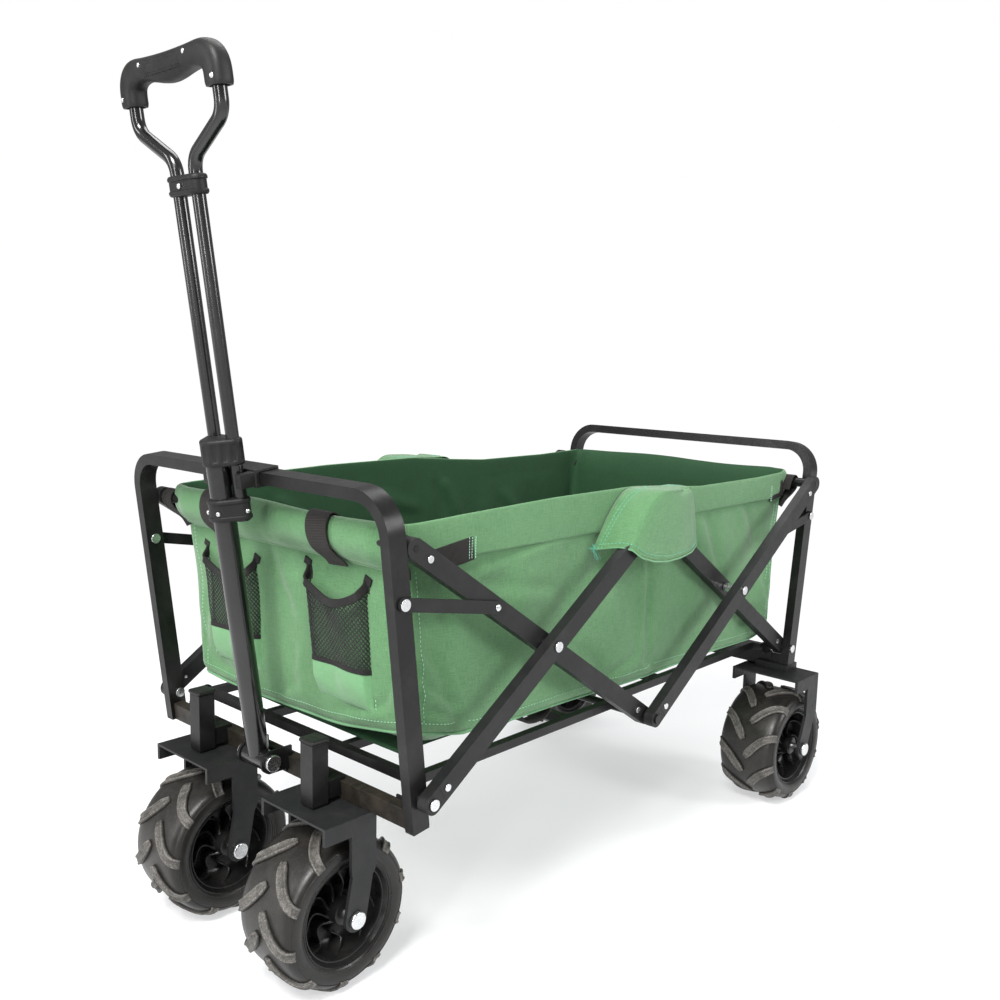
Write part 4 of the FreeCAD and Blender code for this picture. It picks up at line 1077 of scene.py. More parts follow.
def drape(o, pins, frames, shrink, cap, bend=4.0):
    """Short cloth run; the result is written back into the mesh and the modifier removed."""
    me = o.data
    n = len(me.vertices)
    rest = np.zeros(n * 3)
    me.vertices.foreach_get("co", rest)
    rest = rest.reshape(-1, 3)
    vg = o.vertex_groups.new(name="held")
    for w in sorted(set(np.round(pins, 2))):
        if w > 0:
            vg.add([int(i) for i in np.nonzero(np.round(pins, 2) == w)[0]], float(w), "REPLACE")
    mod = o.modifiers.new("Cloth", "CLOTH")
    c = mod.settings
    c.quality = 5
    c.mass = 0.25
    c.tension_stiffness = 18
    c.compression_stiffness = 18
    c.shear_stiffness = 8
    c.bending_stiffness = bend
    c.tension_damping = 8
    c.compression_damping = 8
    c.shear_damping = 8
    c.bending_damping = 2.0
    c.air_damping = 3
    c.vertex_group_mass = "held"
    c.pin_stiffness = 1.0
    c.shrink_min = shrink
    mod.collision_settings.use_collision = False
    mod.collision_settings.use_self_collision = False
    mod.point_cache.frame_start = 1
    mod.point_cache.frame_end = frames
    for fr in range(1, frames + 1):
        scene.frame_set(fr)
    dg = bpy.context.evaluated_depsgraph_get()
    ev = o.evaluated_get(dg).data
    co = np.zeros(n * 3)
    ev.vertices.foreach_get("co", co)
    co = co.reshape(-1, 3)
    o.modifiers.remove(mod)
    o.vertex_groups.clear()
    scene.frame_set(1)
    d = co - rest
    ln = np.linalg.norm(d, axis=1) + 1e-9
    d *= (cap * np.tanh(ln / cap) / ln)[:, None]
    me.vertices.foreach_set("co", (rest + d).ravel())
    me.update()
    return rest + d


def crease(x, z, a, b, width, depth):
    """Displacement of a fold line from a to b on a panel, millimetres."""
    ax, az = a
    bx, bz = b
    dx, dz = bx - ax, bz - az
    L2 = dx * dx + dz * dz
    t = np.clip(((x - ax) * dx + (z - az) * dz) / L2, -0.15, 1.15)
    px, pz = ax + t * dx, az + t * dz
    sd = ((x - ax) * dz - (z - az) * dx) / math.sqrt(L2)
    dist = np.hypot(x - px, z - pz)
    fade = np.exp(-(np.maximum(0, np.abs(t - 0.5) - 0.32) / 0.16) ** 2)
    return depth * fade * (-np.exp(-(dist / width) ** 2) + 0.65 * np.exp(-((sd - 1.5 * width) / (1.3 * width)) ** 2) * np.exp(-(np.maximum(0, dist - 4 * width) / width) ** 2))


def shaped_wall():
    P = REST.copy()
    x, y, z = P[..., 0] / MM, P[..., 1] / MM, P[..., 2] / MM
    s_run = np.concatenate([[0], np.cumsum(np.linalg.norm(np.diff(P[NR // 2], axis=0), axis=1))])
    sr = np.repeat(s_run[None], ROWS, 0)
    # fade of free cloth between seams
    t_row = np.clip(np.arange(ROWS) / NR, 0, 1)[:, None]
    free = np.sin(math.pi * np.clip(t_row, 0, 1)) ** 0.6
    corner = 1 - np.exp(-(np.minimum(np.abs(np.abs(x) - 424), 400) / 16.0) ** 2) * (np.abs(y) > 200)
    d = 1.6 * ripple(sr, z * MM, 11, 9, 3, 11) * free * corner
    d += 0.6 * ripple(sr, z * MM, 12, 9, 12, 30) * free
    # hem rows roll a little
    hemrow = (np.arange(ROWS) > NR)[:, None]
    d += np.where(hemrow, 0.5 * ripple(sr, z * MM * 0.3, 13, 6, 6, 20), 0)
    near = (KIND == "s")[None, :] & ~hemrow
    far = (KIND == "l")[None, :] & ~hemrow
    fr = (KIND == "f")[None, :] & ~hemrow
    re = (KIND == "r")[None, :] & ~hemrow
    dn = np.zeros_like(x)
    for a, b, w, dep in (((38, 520), (46, 320), 6, 3.6), ((40, 330), (70, 312), 7, 3.2), ((-405, 360), (-330, 318), 6, 4.2), ((-412, 395), (-352, 344), 7, 4.5),
                         ((-410, 430), (-372, 372), 7, 3.2), ((-300, 330), (-250, 312), 8, 3.0), ((-345, 520), (-120, 560), 9, 2.4), ((-330, 500), (-170, 470), 9, 1.9),
                         ((-180, 420), (-60, 330), 12, 2.4), ((-120, 470), (-30, 520), 9, 1.8), ((110, 560), (180, 470), 8, 2.3), ((190, 540), (250, 440), 9, 2.4),
                         ((150, 330), (260, 360), 9, 2.2), ((300, 560), (360, 470), 8, 1.9), ((390, 420), (424, 340), 8, 3.0), ((-60, 318), (20, 340), 8, 2.6),
                         ((-398, 520), (-380, 450), 5, 2.6), ((300, 330), (400, 350), 8, 2.4)):
        dn += crease(x, z, a, b, w, dep)
    d += np.where(near, dn * 1.9 - 1.4 * free, 0)
    df = np.zeros_like(x)
    for a, b, w, dep in (((-180, 500), (180, 505), 10, 1.2), ((60, 330), (190, 322), 7, 3.0), ((-20, 350), (40, 318), 8, 2.4), ((-190, 360), (-90, 326), 7, 3.6),
                         ((-210, 420), (-180, 350), 7, 2.6), ((30, 520), (-10, 430), 9, 2.0), ((190, 420), (215, 340), 7, 2.4), ((-10, 400), (0, 340), 7, 2.0)):
        df += crease(y, z, a, b, w, dep)
    d += np.where(fr, df * 1.5, 0)
    dl = np.zeros_like(x)
    for a, b, w, dep in (((-300, 560), (-200, 470), 10, 3.4), ((-350, 470), (-250, 400), 10, 3.0), ((-120, 540), (20, 500), 10, 3.0), ((60, 560), (140, 440), 10, 3.4),
                         ((220, 520), (320, 430), 10, 3.0), ((-60, 420), (60, 340), 12, 3.0), ((300, 380), (400, 330), 9, 3.0), ((-420, 420), (-350, 330), 9, 3.2)):
        dl += crease(x, z, a, b, w, dep)
    d += np.where(far, dl * 1.5 - 1.0 * free, 0)
    dr = np.zeros_like(x)
    for a, b, w, dep in (((-160, 520), (120, 500), 10, 2.2), ((-80, 470), (0, 360), 10, 2.4), ((80, 480), (170, 380), 10, 2.4), ((-180, 400), (-120, 330), 9, 2.6)):
        dr += crease(y, z, a, b, w, dep)
    d += np.where(re, dr, 0)
    return P + OUT[None] * (d * MM)[..., None]


def keep_clear(P):
    """Keeps the cloth off the scissor bars and pin heads that pass beside it."""
    P = P.reshape(-1, 3)
    lim = np.where(P[:, 0] > -0.012, 0.2366, 0.2505)
    near_pin = np.hypot(P[:, 0], P[:, 2] - 0.566) < 0.012
    lim = np.where(near_pin, 0.2348, lim)
    P[:, 1] = np.clip(P[:, 1], -lim, lim)
    return P


WALL = shaped_wall()
soup = Soup()
run_s = np.concatenate([[0], np.cumsum(np.linalg.norm(np.diff(REST[NR // 2], axis=0), axis=1))])
run_t = np.concatenate([[0], np.cumsum(np.linalg.norm(np.diff(REST[:, COLS // 2], axis=0), axis=1))])
uvw = [(run_s[c], run_t[r]) for r in range(ROWS) for c in range(COLS)]
soup.add(WALL.reshape(-1, 3), grid_faces(ROWS, COLS, wrap_cols=True), uvw)
soup.mi = [0 if k // COLS < NR + 6 else 2 for k in range(len(soup.f))]
# the inner face (slot 1, through the solidify offset) carries the cloth coloured darker as painted shade
walls = soup.build("bag_side_walls", [M_GREEN, M_GREEN_IN_PAINTED_SHADE, M_GREEN, M_GREEN])
pins = np.zeros((ROWS, COLS))
pins[NR - 2:, :] = 1.0
pins[0:2, :] = 1.0
isc = np.array([k.startswith("c") for k in [s_[0] for s_ in ST]])
pins[:, isc] = np.maximum(pins[:, isc], 0.6)
drape(walls, pins.ravel(), 18, -0.035, 0.0055, 5.0)
co = np.zeros(len(walls.data.vertices) * 3)
walls.data.vertices.foreach_get("co", co)
moved = co.reshape(ROWS, COLS, 3) - WALL
for _ in range(6):
    side_avg = (np.roll(moved, 1, 1) + np.roll(moved, -1, 1)) / 2
    up_avg = moved.copy()
    up_avg[1:-1] = (moved[:-2] + moved[2:]) / 2
    moved = 0.4 * moved + 0.3 * side_avg + 0.3 * up_avg
co = keep_clear((WALL + moved * 0.8).reshape(-1, 3))
walls.data.vertices.foreach_set("co", co.ravel())
walls.data.update()
SURF = co.reshape(ROWS, COLS, 3)
sub = walls.modifiers.new("Subdivision", "SUBSURF")
sub.levels = sub.render_levels = 1
sol = walls.modifiers.new("Solidify", "SOLIDIFY")
sol.thickness = 0.0011
sol.offset = -1.0
sol.material_offset = 1
soft(walls)
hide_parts("bag")


def normals_of(S):
    du = np.roll(S, -1, 1) - np.roll(S, 1, 1)
    dv = np.gradient(S, axis=0)
    n = np.cross(du, dv)
    n /= np.linalg.norm(n, axis=2)[..., None] + 1e-12
    return n


NRM = normals_of(SURF)
if np.mean(np.sum(NRM[NR // 2] * OUT, 1)) < 0:
    NRM = -NRM


def col_of(kind, coord):
    """Station index on a side ('s','l': by x, 'f','r': by y) nearest a coordinate in mm."""
    best, bi = 1e9, 0
    for i, st in enumerate(ST):
        if st[0] != kind:
            continue
        x, y = plan(st, 432, HW)
        c = x if kind in "sl" else y
        if abs(c - coord) < best:
            best, bi = abs(c - coord), i
    return bi


def on_wall(kind, coord, z):
    """Point and outward normal on a side of the bag, at coordinate and height in mm."""
    i = col_of(kind, coord)
    nxt = None
    colz = SURF[:NR + 1, i, 2]
    r = float(np.interp(z * MM, colz, np.arange(NR + 1)))
    r0 = int(min(NR - 1, math.floor(r)))
    f = r - r0
    p = SURF[r0, i] * (1 - f) + SURF[r0 + 1, i] * f
    n = NRM[r0, i] * (1 - f) + NRM[r0 + 1, i] * f
    p = p.copy()
    if kind in "sl":
        p[0] = coord * MM
    else:
        p[1] = coord * MM
    return p, n / np.linalg.norm(n)


# floor of the bag: one panel that lies on the floor frame, lifted at its edges
def bag_floor():
    nx, ny = 96, 50
    edge = SURF[0]
    v, uv = [], []
    for i in range(nx + 1):
        for j in range(ny + 1):
            u, w = i / nx * 2 - 1, j / ny * 2 - 1
            x, y = u * 419.0, w * 227.0
            near = np.interp(x, [-424, -408, -340, -263, -139, 26, 120, 242, 379, 424], [332, 326, 311, 305, 303, 297, 298, 298, 294, 306])
            far = np.interp(x, [-424, -300, 0, 300, 424], [305, 299, 290, 296, 304])
            fr = np.interp(y, [-235, -199, -132, -82, -25, 55, 162, 228, 235], [331, 323, 312, 304, 303, 301, 300, 303, 305])
            re = np.interp(y, [-235, 0, 235], [306, 290, 303])
            inner = 282.0
            side = near if w < 0 else far
            end = fr if u < 0 else re
            ks, ke = smooth(abs(y), 150, 232), smooth(abs(x), 340, 424)
            z = inner + (side - inner) * ks + (end - inner) * ke - (min(side, end) - inner) * ks * ke
            z += 0.8 * float(ripple(x * MM, y * MM, 21, 7, 3, 9)) * (1 - ks) * (1 - ke)
            v.append((x * MM, y * MM, z * MM))
            uv.append((x * MM, y * MM))
    s_ = Soup().add(v, grid_faces(nx + 1, ny + 1, flip=True), uv)
    o = s_.build("bag_floor_panel", [M_GREEN_IN_PAINTED_SHADE, M_GREEN])
    sd = o.modifiers.new("Solidify", "SOLIDIFY")
    sd.thickness = 0.0014
    sd.offset = -1.0
    sd.material_offset = 1
    return soft(o)


bag_floor()

# stiffening boards under a fabric cover, with gaps between them
s = Soup()
for k in range(4):
    x0, x1 = -400 + k * 201.0, -400 + k * 201.0 + 195
    nx, ny = 20, 40
    vt, uvt = [], []
    for face in (1, 0):
        for i in range(nx + 1):
            for j in range(ny + 1):
                u, w = i / nx * 2 - 1, j / ny * 2 - 1
                x, y = (x0 + x1) / 2 + u * (x1 - x0) / 2, w * 176.0
                edge = max(abs(u) ** 12, abs(w) ** 26)
                lift = 3.6 * (1 - edge) if face else 0.0
                z = 284.6 + lift + 0.5 * float(ripple(x * MM, y * MM, 31, 5, 3, 10))
                vt.append((x * MM, y * MM, z * MM))
                uvt.append((x * MM, y * MM))
    n1 = (nx + 1) * (ny + 1)
    f = grid_faces(nx + 1, ny + 1, flip=True) + [tuple(a + n1 for a in q) for q in grid_faces(nx + 1, ny + 1)]
    rim_i = [i * (ny + 1) for i in range(nx + 1)] + [nx * (ny + 1) + j for j in range(1, ny + 1)] + [i * (ny + 1) + ny for i in range(nx - 1, -1, -1)] + [j for j in range(ny - 1, 0, -1)]
    for a, b in zip(rim_i, rim_i[1:] + rim_i[:1]):
        f.append((a, b, b + n1, a + n1))
    s.add(vt, f, uvt)
# the board covers use the inside cloth, coloured darker as painted shade
boards = s.build("bag_base_boards", M_GREEN_IN_PAINTED_SHADE)
fix_normals(boards)
soft(boards)

# bottom and corner seams as thin piping
s = Soup()
ring = [SURF[0, i] + OUT[i] * 0.0006 for i in range(COLS)]
v, f, u = tube(ring + [ring[0], ring[1]], 0.0021, 7)
s.add(v, f, u)
for st_i in [i for i, st in enumerate(ST) if st[0].startswith("c") and abs(st[1] % (math.pi / 2) - (math.pi / 2) * 2 / NC) < 1e-6]:
    colp = [SURF[r, st_i] + OUT[st_i] * 0.0004 for r in range(0, NR + 4)]
    v, f, u = tube(colp, 0.0015, 7)
    s.add(v, f, u)
piping = s.build("bag_seam_piping", M_SEAM)
fix_normals(piping)
soft(piping)

# stitching: hem line, corner seams, bottom seam
s = Soup()
last = ROWS - 2
for off in (0,):
    line = [SURF[last, i] for i in range(COLS)]
    nn = [NRM[last, i] for i in range(COLS)]
    stitch_line(s, line + [line[0]], np.array(nn + [nn[0]]), 0.0056, 0.0038, 0.0010, 0.0003)
for st_i in [i for i, st in enumerate(ST) if st[0].startswith("c") and abs(st[1] % (math.pi / 2)) < 1e-6] + [col_of("s", -418), col_of("s", 416), col_of("l", -418), col_of("f", 214), col_of("f", -214)]:
    line = [SURF[r, st_i] for r in range(2, NR - 1)]
    nn = np.array([NRM[r, st_i] for r in range(2, NR - 1)])
    stitch_line(s, line, nn, 0.0056, 0.0038, 0.0009, 0.0003)
low_line = [SURF[2, i] for i in range(COLS)]
stitch_line(s, low_line, np.array([NRM[2, i] for i in range(COLS)]), 0.0058, 0.0038, 0.0009, 0.0003)
st_o = s.build("bag_stitching", M_THREAD)
soft(st_o)


# ---------------------------------------------------------------- hood flaps over the top centre pins
def hood(sg, who):
    na, nb = 44, 34
    bott = np.array([(-102, 238.6, 513), (-99, 256, 517), (-94, 277, 521), (-86, 292, 518), (-70, 297.5, 506), (-42, 299.5, 497.5), (-8, 300, 493), (30, 298.5, 493.5),
                     (66, 292, 496), (94, 281, 501), (106, 273, 508), (118, 261, 509), (132, 249, 506), (145, 239.0, 502)], float)
    ta = np.linspace(0, 1, len(bott))
    v, uv = [], []
    G = np.zeros((nb + 1, na + 1, 3))
    for j in range(nb + 1):
        b = j / nb
        for i in range(na + 1):
            a = i / na
            p0 = np.array([np.interp(a, ta, bott[:, k]) for k in range(3)])
            p1 = np.array([8 + 46 * a, 238.8, 592.5 - 3 * a])
            g = min(1.0, 1.35 * math.sin(math.pi * a) ** 0.5) if 0 < a < 1 else 0.0
            hz = min(1.0, b / 0.74)
            x = p0[0] + (p1[0] - p0[0]) * (b ** 0.95)
            base_y = 238.8
            depth = (p0[1] - base_y)
            roof = 1.0 if b < 0.66 else max(0.0, 1 - ((b - 0.66) / 0.34) ** 1.7) ** 0.8
            yy = base_y + (depth * (1 - b) + 56.0 * g * b) * roof
            zz = p0[2] + (p1[2] + 1.5 * g * (1 - b) * 4 - p0[2]) * (math.sin(hz * math.pi / 2) ** 0.92)
            # dent and gathers near the top
            dent = 11.0 * math.exp(-(((a - 0.62 - 0.5 * (b - 0.7)) / 0.075) ** 2 + ((b - 0.68) / 0.12) ** 2))
            dent += 5.0 * math.exp(-(((a - 0.78 + 0.4 * (b - 0.5)) / 0.05) ** 2 + ((b - 0.5) / 0.2) ** 2))
            fold = 3.6 * math.sin(a * 21.0 + 1.0) * math.exp(-((b - 0.80) / 0.15) ** 2) * g
            sag = 1.2 * math.sin(a * 9 + b * 5) * g * (1 - b)
            yy -= dent * 0.8 - fold * 0.6 - sag
            zz -= dent * 0.35
            G[j, i] = (x, sg * yy, zz)
    G *= MM
    # keep off the bar ends and the pin head
    for j in range(nb + 1):
        for i in range(na + 1):
            x, y, z = G[j, i]
            r = math.hypot(x, z - 0.566)
            if r < 0.016 and abs(y) < 0.2935 and abs(y) > 0.262:
                G[j, i, 1] = sg * 0.2945
    for j in range(nb + 1):
        for i in range(na + 1):
            v.append(G[j, i])
            uv.append((i / na * 0.30, j / nb * 0.15))
    s_ = Soup().add(v, grid_faces(nb + 1, na + 1, flip=(sg > 0)), uv)
    o = s_.build("hood_flap_" + who, [M_GREEN, M_GREEN_IN_PAINTED_SHADE])
    sb = o.modifiers.new("Subdivision", "SUBSURF")
    sb.levels = sb.render_levels = 1
    sd = o.modifiers.new("Solidify", "SOLIDIFY")
    sd.thickness = 0.0012
    sd.offset = -1.0
    sd.material_offset = 1
    soft(o)
    t = Soup()
    outn = np.array([0, sg, 0.25])
    for inset in (1, 2):
        left = [G[j, inset] + np.array([0, sg * 0.0012, 0]) for j in range(nb + 1)]
        rightl = [G[j, na - inset] + np.array([0, sg * 0.0012, 0]) for j in range(nb + 1)]
        stitch_line(t, left, outn, 0.0056, 0.0038, 0.0010, 0.0004)
        stitch_line(t, rightl, outn, 0.0056, 0.0038, 0.0010, 0.0004)
    stitch_line(t, [G[1, i] + np.array([0, sg * 0.0012, 0]) for i in range(1, na)], outn, 0.0056, 0.0038, 0.0009, 0.0004)
    # knotted thread ends at the left corner
    rg = np.random.default_rng(5 + sg)
    c0 = G[0, 0] + np.array([0, sg * 0.002, 0.002])
    for k in range(16):
        dr = rg.normal(size=3)
        dr /= np.linalg.norm(dr)
        vv, ff = bead(c0 + dr * 0.002, dr, [0, sg, 0], 0.009 + 0.006 * rg.random(), 0.0008)
        t.add(vv, ff)
    for k in range(5):
        a0 = c0 + rg.normal(size=3) * 0.001
        dd = np.array([rg.uniform(-1, 1), sg * 0.15, -1.0])
        pts = [a0 + dd * 0.004 * q + np.array([0.0012 * math.sin(q * 1.3 + k), 0, 0]) for q in range(5)]
        vv, ff, uu = tube(pts, 0.00035, 4)
        t.add(vv, ff, uu)
    th = t.build("hood_stitching_" + who, M_TEAL)
    soft(th)
    # rolled lower edge
    e = Soup()
    vv, ff, uu = tube([G[0, i] + np.array([0, sg * 0.0002, 0]) for i in range(na + 1)], 0.0013, 6)
    e.add(vv, ff, uu)
    eo = e.build("hood_edge_" + who, M_SEAM)
    fix_normals(eo)
    soft(eo)


hood(-1, "right")
hood(1, "left")


# ---------------------------------------------------------------- webbing
def strap(name, path_mm, wdir, width, thick=1.7, mat=M_WEB, count=None):
    p = np.array(path_mm, float)
    d = np.concatenate([[0], np.cumsum(np.linalg.norm(np.diff(p, axis=0), axis=1))])
    q = np.linspace(0, d[-1], count or max(12, int(d[-1] / 3)))
    c = np.stack([np.interp(q, d, p[:, i]) for i in range(3)], 1)
    for _ in range(4):
        c[1:-1] = (c[:-2] + 2 * c[1:-1] + c[2:]) / 4
    w = np.asarray(wdir, float)
    if w.ndim == 2:
        w = np.stack([np.interp(q, d, w[:, i]) for i in range(3)], 1)
    v, f, u = ribbon(c * MM, w, width * MM, thick * MM)
    s_ = Soup().add(v, f, u)
    o = s_.build(name, mat)
    fix_normals(o)
    sharpen(o, 60)
    return o, c * MM


def front_panel_x(z):
    return -float(half_long(z))


t_soup = Soup()
for who, yc, lean in (("left", 118, 2), ("right", -110, -11)):
    x = front_panel_x
    path = [(-447, yc, 558), (-449, yc, 569), (-453.5, yc, 579), (-459.5, yc, 586.5), (-467, yc, 588.8), (-473.5, yc + 0.1 * lean, 585), (-478.6, yc + 0.2 * lean, 577), (-480.2, yc + 0.35 * lean, 566),
            (-479, yc + 0.5 * lean, 555), (-475.5, yc + 0.65 * lean, 545.5), (-469, yc + 0.8 * lean, 538), (-461.5, yc + 0.95 * lean, 532), (-455, yc + 1.05 * lean, 527), (-451.5, yc + 1.1 * lean, 521.5)]
    o, c = strap("front_webbing_loop_" + who, path, (0, 1, 0.0), 39, 1.9)
    soft(o) if False else soft(o)
    for dz in (0, 4):
        y0 = yc + 1.12 * lean
        pts = [np.array([-456.4 + dz * 0.9, y0 - 17 + k * 3.4, 527.5 - dz]) * MM for k in range(11)]
        stitch_line(t_soup, pts, (-1, 0, 0), 0.0045, 0.0032, 0.0009, 0.0002)

for sx, end in ((-1, "front"), (1, "rear")):
    for sy, who in ((-1, "right"), (1, "left")):
        # corner strap: laps the hem tube end outside the sleeve and runs down the corner
        yy = 238.0
        path = [(sx * 440, sy * yy, 552), (sx * 445, sy * yy, 563), (sx * 450.5, sy * yy, 572), (sx * 457, sy * yy, 576.5), (sx * 464, sy * yy, 576), (sx * 470.5, sy * yy, 571),
                (sx * 472.3, sy * yy, 562), (sx * 468, sy * yy, 552.5), (sx * 457, sy * (yy - 3), 543), (sx * 446, sy * (yy - 8), 534), (sx * 441.5, sy * (yy - 12), 524)]
        o, c = strap("corner_strap_%s_%s" % (end, who), path, (0, 1, 0), 24)
        soft(o)
        # side tab: stitched to the side panel, runs to the corner under the bar
        x0, x1 = (338.0, 412.0) if sx < 0 else (395.0, 441.0)
        n_ = 10
        pth, wd = [], []
        for k in range(n_):
            u = k / (n_ - 1)
            xx = x0 + (x1 - x0) * u
            z0 = 545.0 - 9 * u if sx < 0 else 546.5 + 8 * u
            lim = 235.9 if sx > 0 else 236.6 + 1.2 * math.sin(math.pi * u)
            pth.append((sx * xx, sy * (lim + 0.6), z0))
            wd.append((0, 0.0, 1.0))
        o, c = strap("side_tab_%s_%s" % (end, who), pth, np.array(wd), 29 if sx < 0 else 27, 1.5)
        soft(o)
        for dx in (3.0, 7.5, 11.0) if sx < 0 else (3.0, 6.5):
            pts = [np.array([sx * (x0 + dx if dx < 9 else x0 - 3.5), sy * (237.9 if sx < 0 else 237.2), (545.0 if sx < 0 else 546.5) - 13 + k * 2.6]) * MM for k in range(11)]
            stitch_line(t_soup, pts, (0, sy, 0), 0.0034, 0.0030, 0.0012, 0.0002)
tab_stitch = t_soup.build("webbing_stitching", M_THREAD)
soft(tab_stitch)

# short pull loop under the side seam
path = [(-232, -222, 303), (-230, -222, 298), (-222, -222, 292.5), (-205, -222, 290), (-188, -222, 291.5), (-178, -222, 296), (-175, -222, 302)]
o, c = strap("under_pull_loop", path, (0, 1, 0), 22, 1.8)
soft(o)


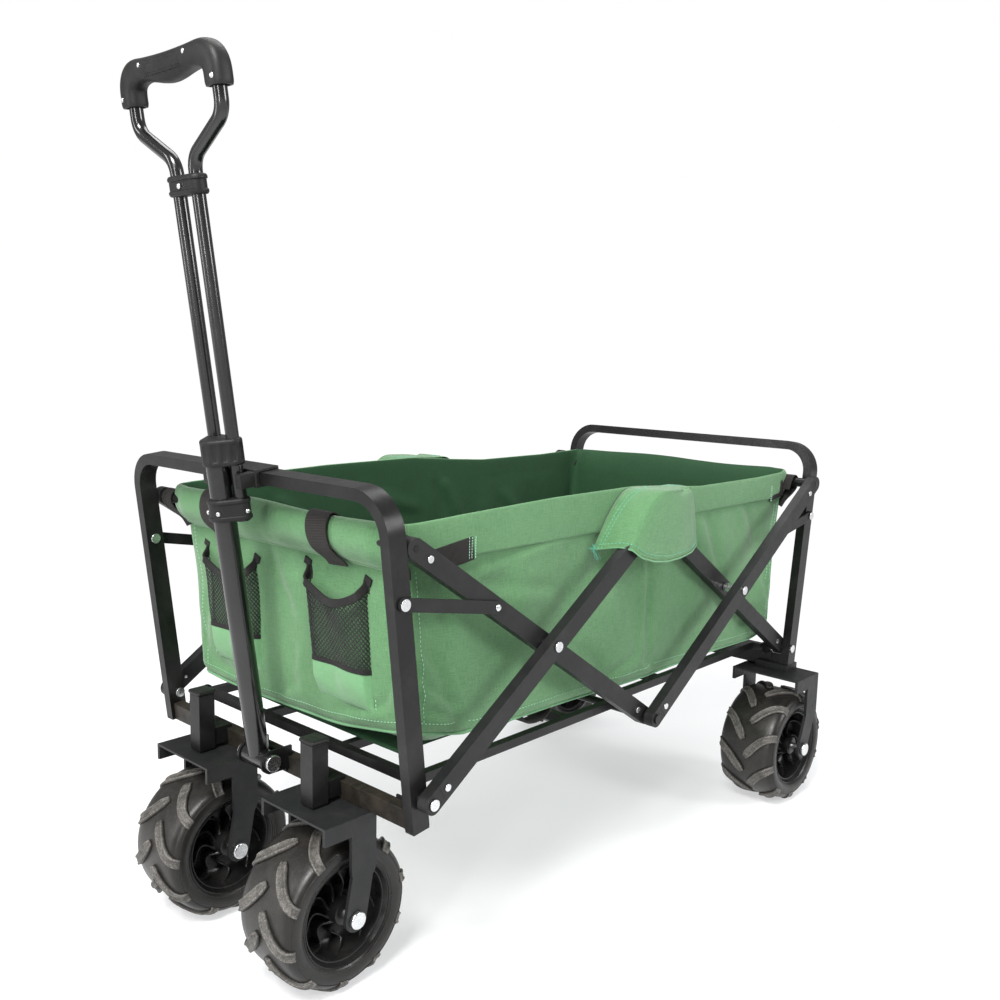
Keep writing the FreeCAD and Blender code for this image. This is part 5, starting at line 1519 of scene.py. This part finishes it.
# ---------------------------------------------------------------- cup pockets on the front panel
def pocket(sg, who, yc, hw_, zb, zt_l, zt_r, zmid):
    """Net pocket with drooping bound edge over a green box base; sg is only a name helper."""
    def contour(a, z):
        """a 0..1 along the pocket's outline from +y side to -y side, z in mm."""
        L1, L2_ = 17.0, 2 * hw_ - 8
        tot = 2 * L1 + L2_
        d = a * tot
        up_ = (z - zb) / 120.0
        dep = 11.0 + 5.0 * up_ + 2.0 * math.sin(a * 11.0 + up_ * 2.0)
        w0, w1 = hw_ + 2.0, hw_ - 5.0 + 2.0 * up_
        if d < L1:
            k = d / L1
            kk = smooth(k, 0, 1) * 0.35 + k * 0.65
            y = w0 + (w1 - w0) * k ** 1.5
            o = dep * kk
        elif d > tot - L1:
            k = (tot - d) / L1
            kk = smooth(k, 0, 1) * 0.35 + k * 0.65
            y = -(w0 + (w1 - w0) * k ** 1.5)
            o = dep * kk
        else:
            k = (d - L1) / L2_
            y = w1 - 2 * w1 * k
            o = dep + 3.5 * math.sin(math.pi * k) * (0.4 + 0.6 * up_)
        return y, o, tot

    def spot(a, z):
        y, o, _ = contour(a, z)
        return np.array([front_panel_x(z) - 1.2 - o, yc + y, z]) * MM

    tot = contour(0.5, zb)[2]

    def top(a):
        e = zt_l + (zt_r - zt_l) * a
        sag = (e - zmid) * (math.sin(math.pi * min(1, max(0, a))) ** 0.75)
        return e - sag

    # net
    s_ = Soup()
    pitch = 6.3
    H = max(zt_l, zt_r) - zb
    for fam in (1, -1):
        k0 = -int(H / pitch) - 2
        k1 = int((tot + H) / pitch) + 2
        for k in range(k0, k1):
            c0 = k * pitch
            pts = []
            steps = int(H / 4.0) + 1
            for i in range(steps + 1):
                zz = i / steps * H
                aa = (c0 + zz) if fam > 0 else (c0 + H - zz)
                if aa < 0 or aa > tot:
                    if len(pts) > 1:
                        v, f, u = tube(pts, 0.00082, 4)
                        s_.add(v, f, u)
                    pts = []
                    continue
                q = aa / tot
                if zb + zz > top(q) + 1.0:
                    if len(pts) > 1:
                        v, f, u = tube(pts, 0.00082, 4)
                        s_.add(v, f, u)
                    pts = []
                    continue
                wob = 0.0004 * math.sin(aa * 1.1 + zz * 0.7 * fam)
                p = spot(q, zb + zz)
                p[0] += wob + (0.0003 if fam > 0 else -0.0003)
                pts.append(p)
            if len(pts) > 1:
                v, f, u = tube(pts, 0.00082, 4)
                s_.add(v, f, u)
    net = s_.build("pocket_net_" + who, M_NET)
    fix_normals(net)
    soft(net)
    # bound top edge
    s_ = Soup()
    n_ = 56
    line = [spot(i / n_, top(i / n_) - 2.5) for i in range(n_ + 1)]
    v, f, u = ribbon(line, (0, 0, 1), 0.0105, 0.0026)
    s_.add(v, f, u)
    for a in (0.0, 1.0):
        line = [spot(a, z) + np.array([-0.0006, 0, 0]) for z in np.linspace(zb - 2, top(a), 26)]
        v, f, u = ribbon(line, (0, 1, 0), 0.0075, 0.0018)
        s_.add(v, f, u)
    line = [spot(i / n_, zb + 0.5) + np.array([-0.0004, 0, 0]) for i in range(n_ + 1)]
    v, f, u = ribbon(line, (0, 0, 1), 0.0060, 0.0018)
    s_.add(v, f, u)
    # bar tacks at the two upper corners
    for a, dy in ((0.0, 6), (1.0, -6)):
        p = spot(a, top(a) + 1)
        line = [p + np.array([-0.0008, dy * MM * q, 0.0004 * q * dy]) for q in np.linspace(-0.6, 1.4, 6)]
        v, f, u = ribbon(line, (0, 0, 1), 0.010, 0.0022)
        s_.add(v, f, u)
    bind = s_.build("pocket_binding_" + who, M_BIND)
    fix_normals(bind)
    sharpen(bind, 60)
    soft(bind)
    # green box base
    nb, na = 16, 56
    v, uv = [], []
    z_low = zb - 52.0
    for j in range(nb + 1):
        t = j / nb
        z = z_low + (zb + 3 - z_low) * t
        for i in range(na + 1):
            a = i / na
            y, o_, _ = contour(a, zb)
            swell = math.sin(min(1.0, t * 1.15) * math.pi / 2) ** 0.7
            o2 = o_ * swell * (1.0 + 0.10 * math.sin(math.pi * t)) + 0.8
            crump = 1.1 * float(ripple(a * 0.16, t * 0.06, 41 + sg, 6, 10, 30)) * math.sin(math.pi * t)
            v.append(((front_panel_x(z) - 0.8 - o2 - crump * swell) * MM, (yc + y * (1 - 0.03 * (1 - t))) * MM, z * MM))
            uv.append((a * 0.17, t * 0.055))
    s_ = Soup().add(v, grid_faces(nb + 1, na + 1), uv)
    base = s_.build("pocket_base_" + who, [M_GREEN_BASE_PAINTED_LIGHT, M_GREEN_IN_PAINTED_SHADE])
    sb = base.modifiers.new("Subdivision", "SUBSURF")
    sb.levels = sb.render_levels = 1
    sd = base.modifiers.new("Solidify", "SOLIDIFY")
    sd.thickness = 0.0011
    sd.offset = -1.0
    sd.material_offset = 1
    soft(base)
    t_ = Soup()
    for a in (0.0, 1.0):
        line = [spot(a, z) + np.array([-0.0013, (0.0035 if a == 0 else -0.0035), 0]) for z in np.linspace(z_low + 4, zb, 14)]
        stitch_line(t_, line, (-1, 0, 0), 0.0052, 0.0036, 0.0009, 0.0001)
    po = t_.build("pocket_stitching_" + who, M_THREAD)
    soft(po)
    return net


net_l = pocket(1, "left", 121, 55, 390, 502, 500, 470)
net_r = pocket(-1, "right", -109, 53, 392, 512, 508, 476)
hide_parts("cup_pockets")
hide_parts("cup_pockets")

# ------------------------------------------------------------------ floor
s = Soup()
s.add([(-14, -14, 0), (14, -14, 0), (14, 14, 0), (-14, 14, 0)], [(0, 1, 2, 3)])
ground = s.build("studio_floor", [], False)
m, nt, b = new_mat("studio_floor_white")
v = coords(nt)
nt.links.new(mixc(nt, span(nt, noise(nt, v, 1.5, 3.0), 0.3, 0.7), (0.50, 0.505, 0.515), (0.54, 0.54, 0.545)), b.inputs["Base Color"])
nt.links.new(span(nt, noise(nt, v, 3.0, 3.0), 0.3, 0.7, 0.82, 0.92), b.inputs["Roughness"])
b.inputs["Specular IOR Level"].default_value = 0.1
b.inputs["Emission Color"].default_value = (0.985, 0.99, 1.0, 1)
b.inputs["Emission Strength"].default_value = 0.50
far_glow = nt.nodes.new("ShaderNodeEmission")
far_glow.inputs["Color"].default_value = (1, 1, 1, 1)
far_glow.inputs["Strength"].default_value = 1.02
ln = nt.nodes.new("ShaderNodeVectorMath")
ln.operation = "LENGTH"
nt.links.new(v, ln.inputs[0])
blend = nt.nodes.new("ShaderNodeMixShader")
nt.links.new(span(nt, ln.outputs["Value"], 0.95, 2.1), blend.inputs[0])
nt.links.new(b.outputs[0], blend.inputs[1])
nt.links.new(far_glow.outputs[0], blend.inputs[2])
nt.links.new(blend.outputs[0], nt.nodes["Material Output"].inputs["Surface"])
ground.data.materials.append(m)
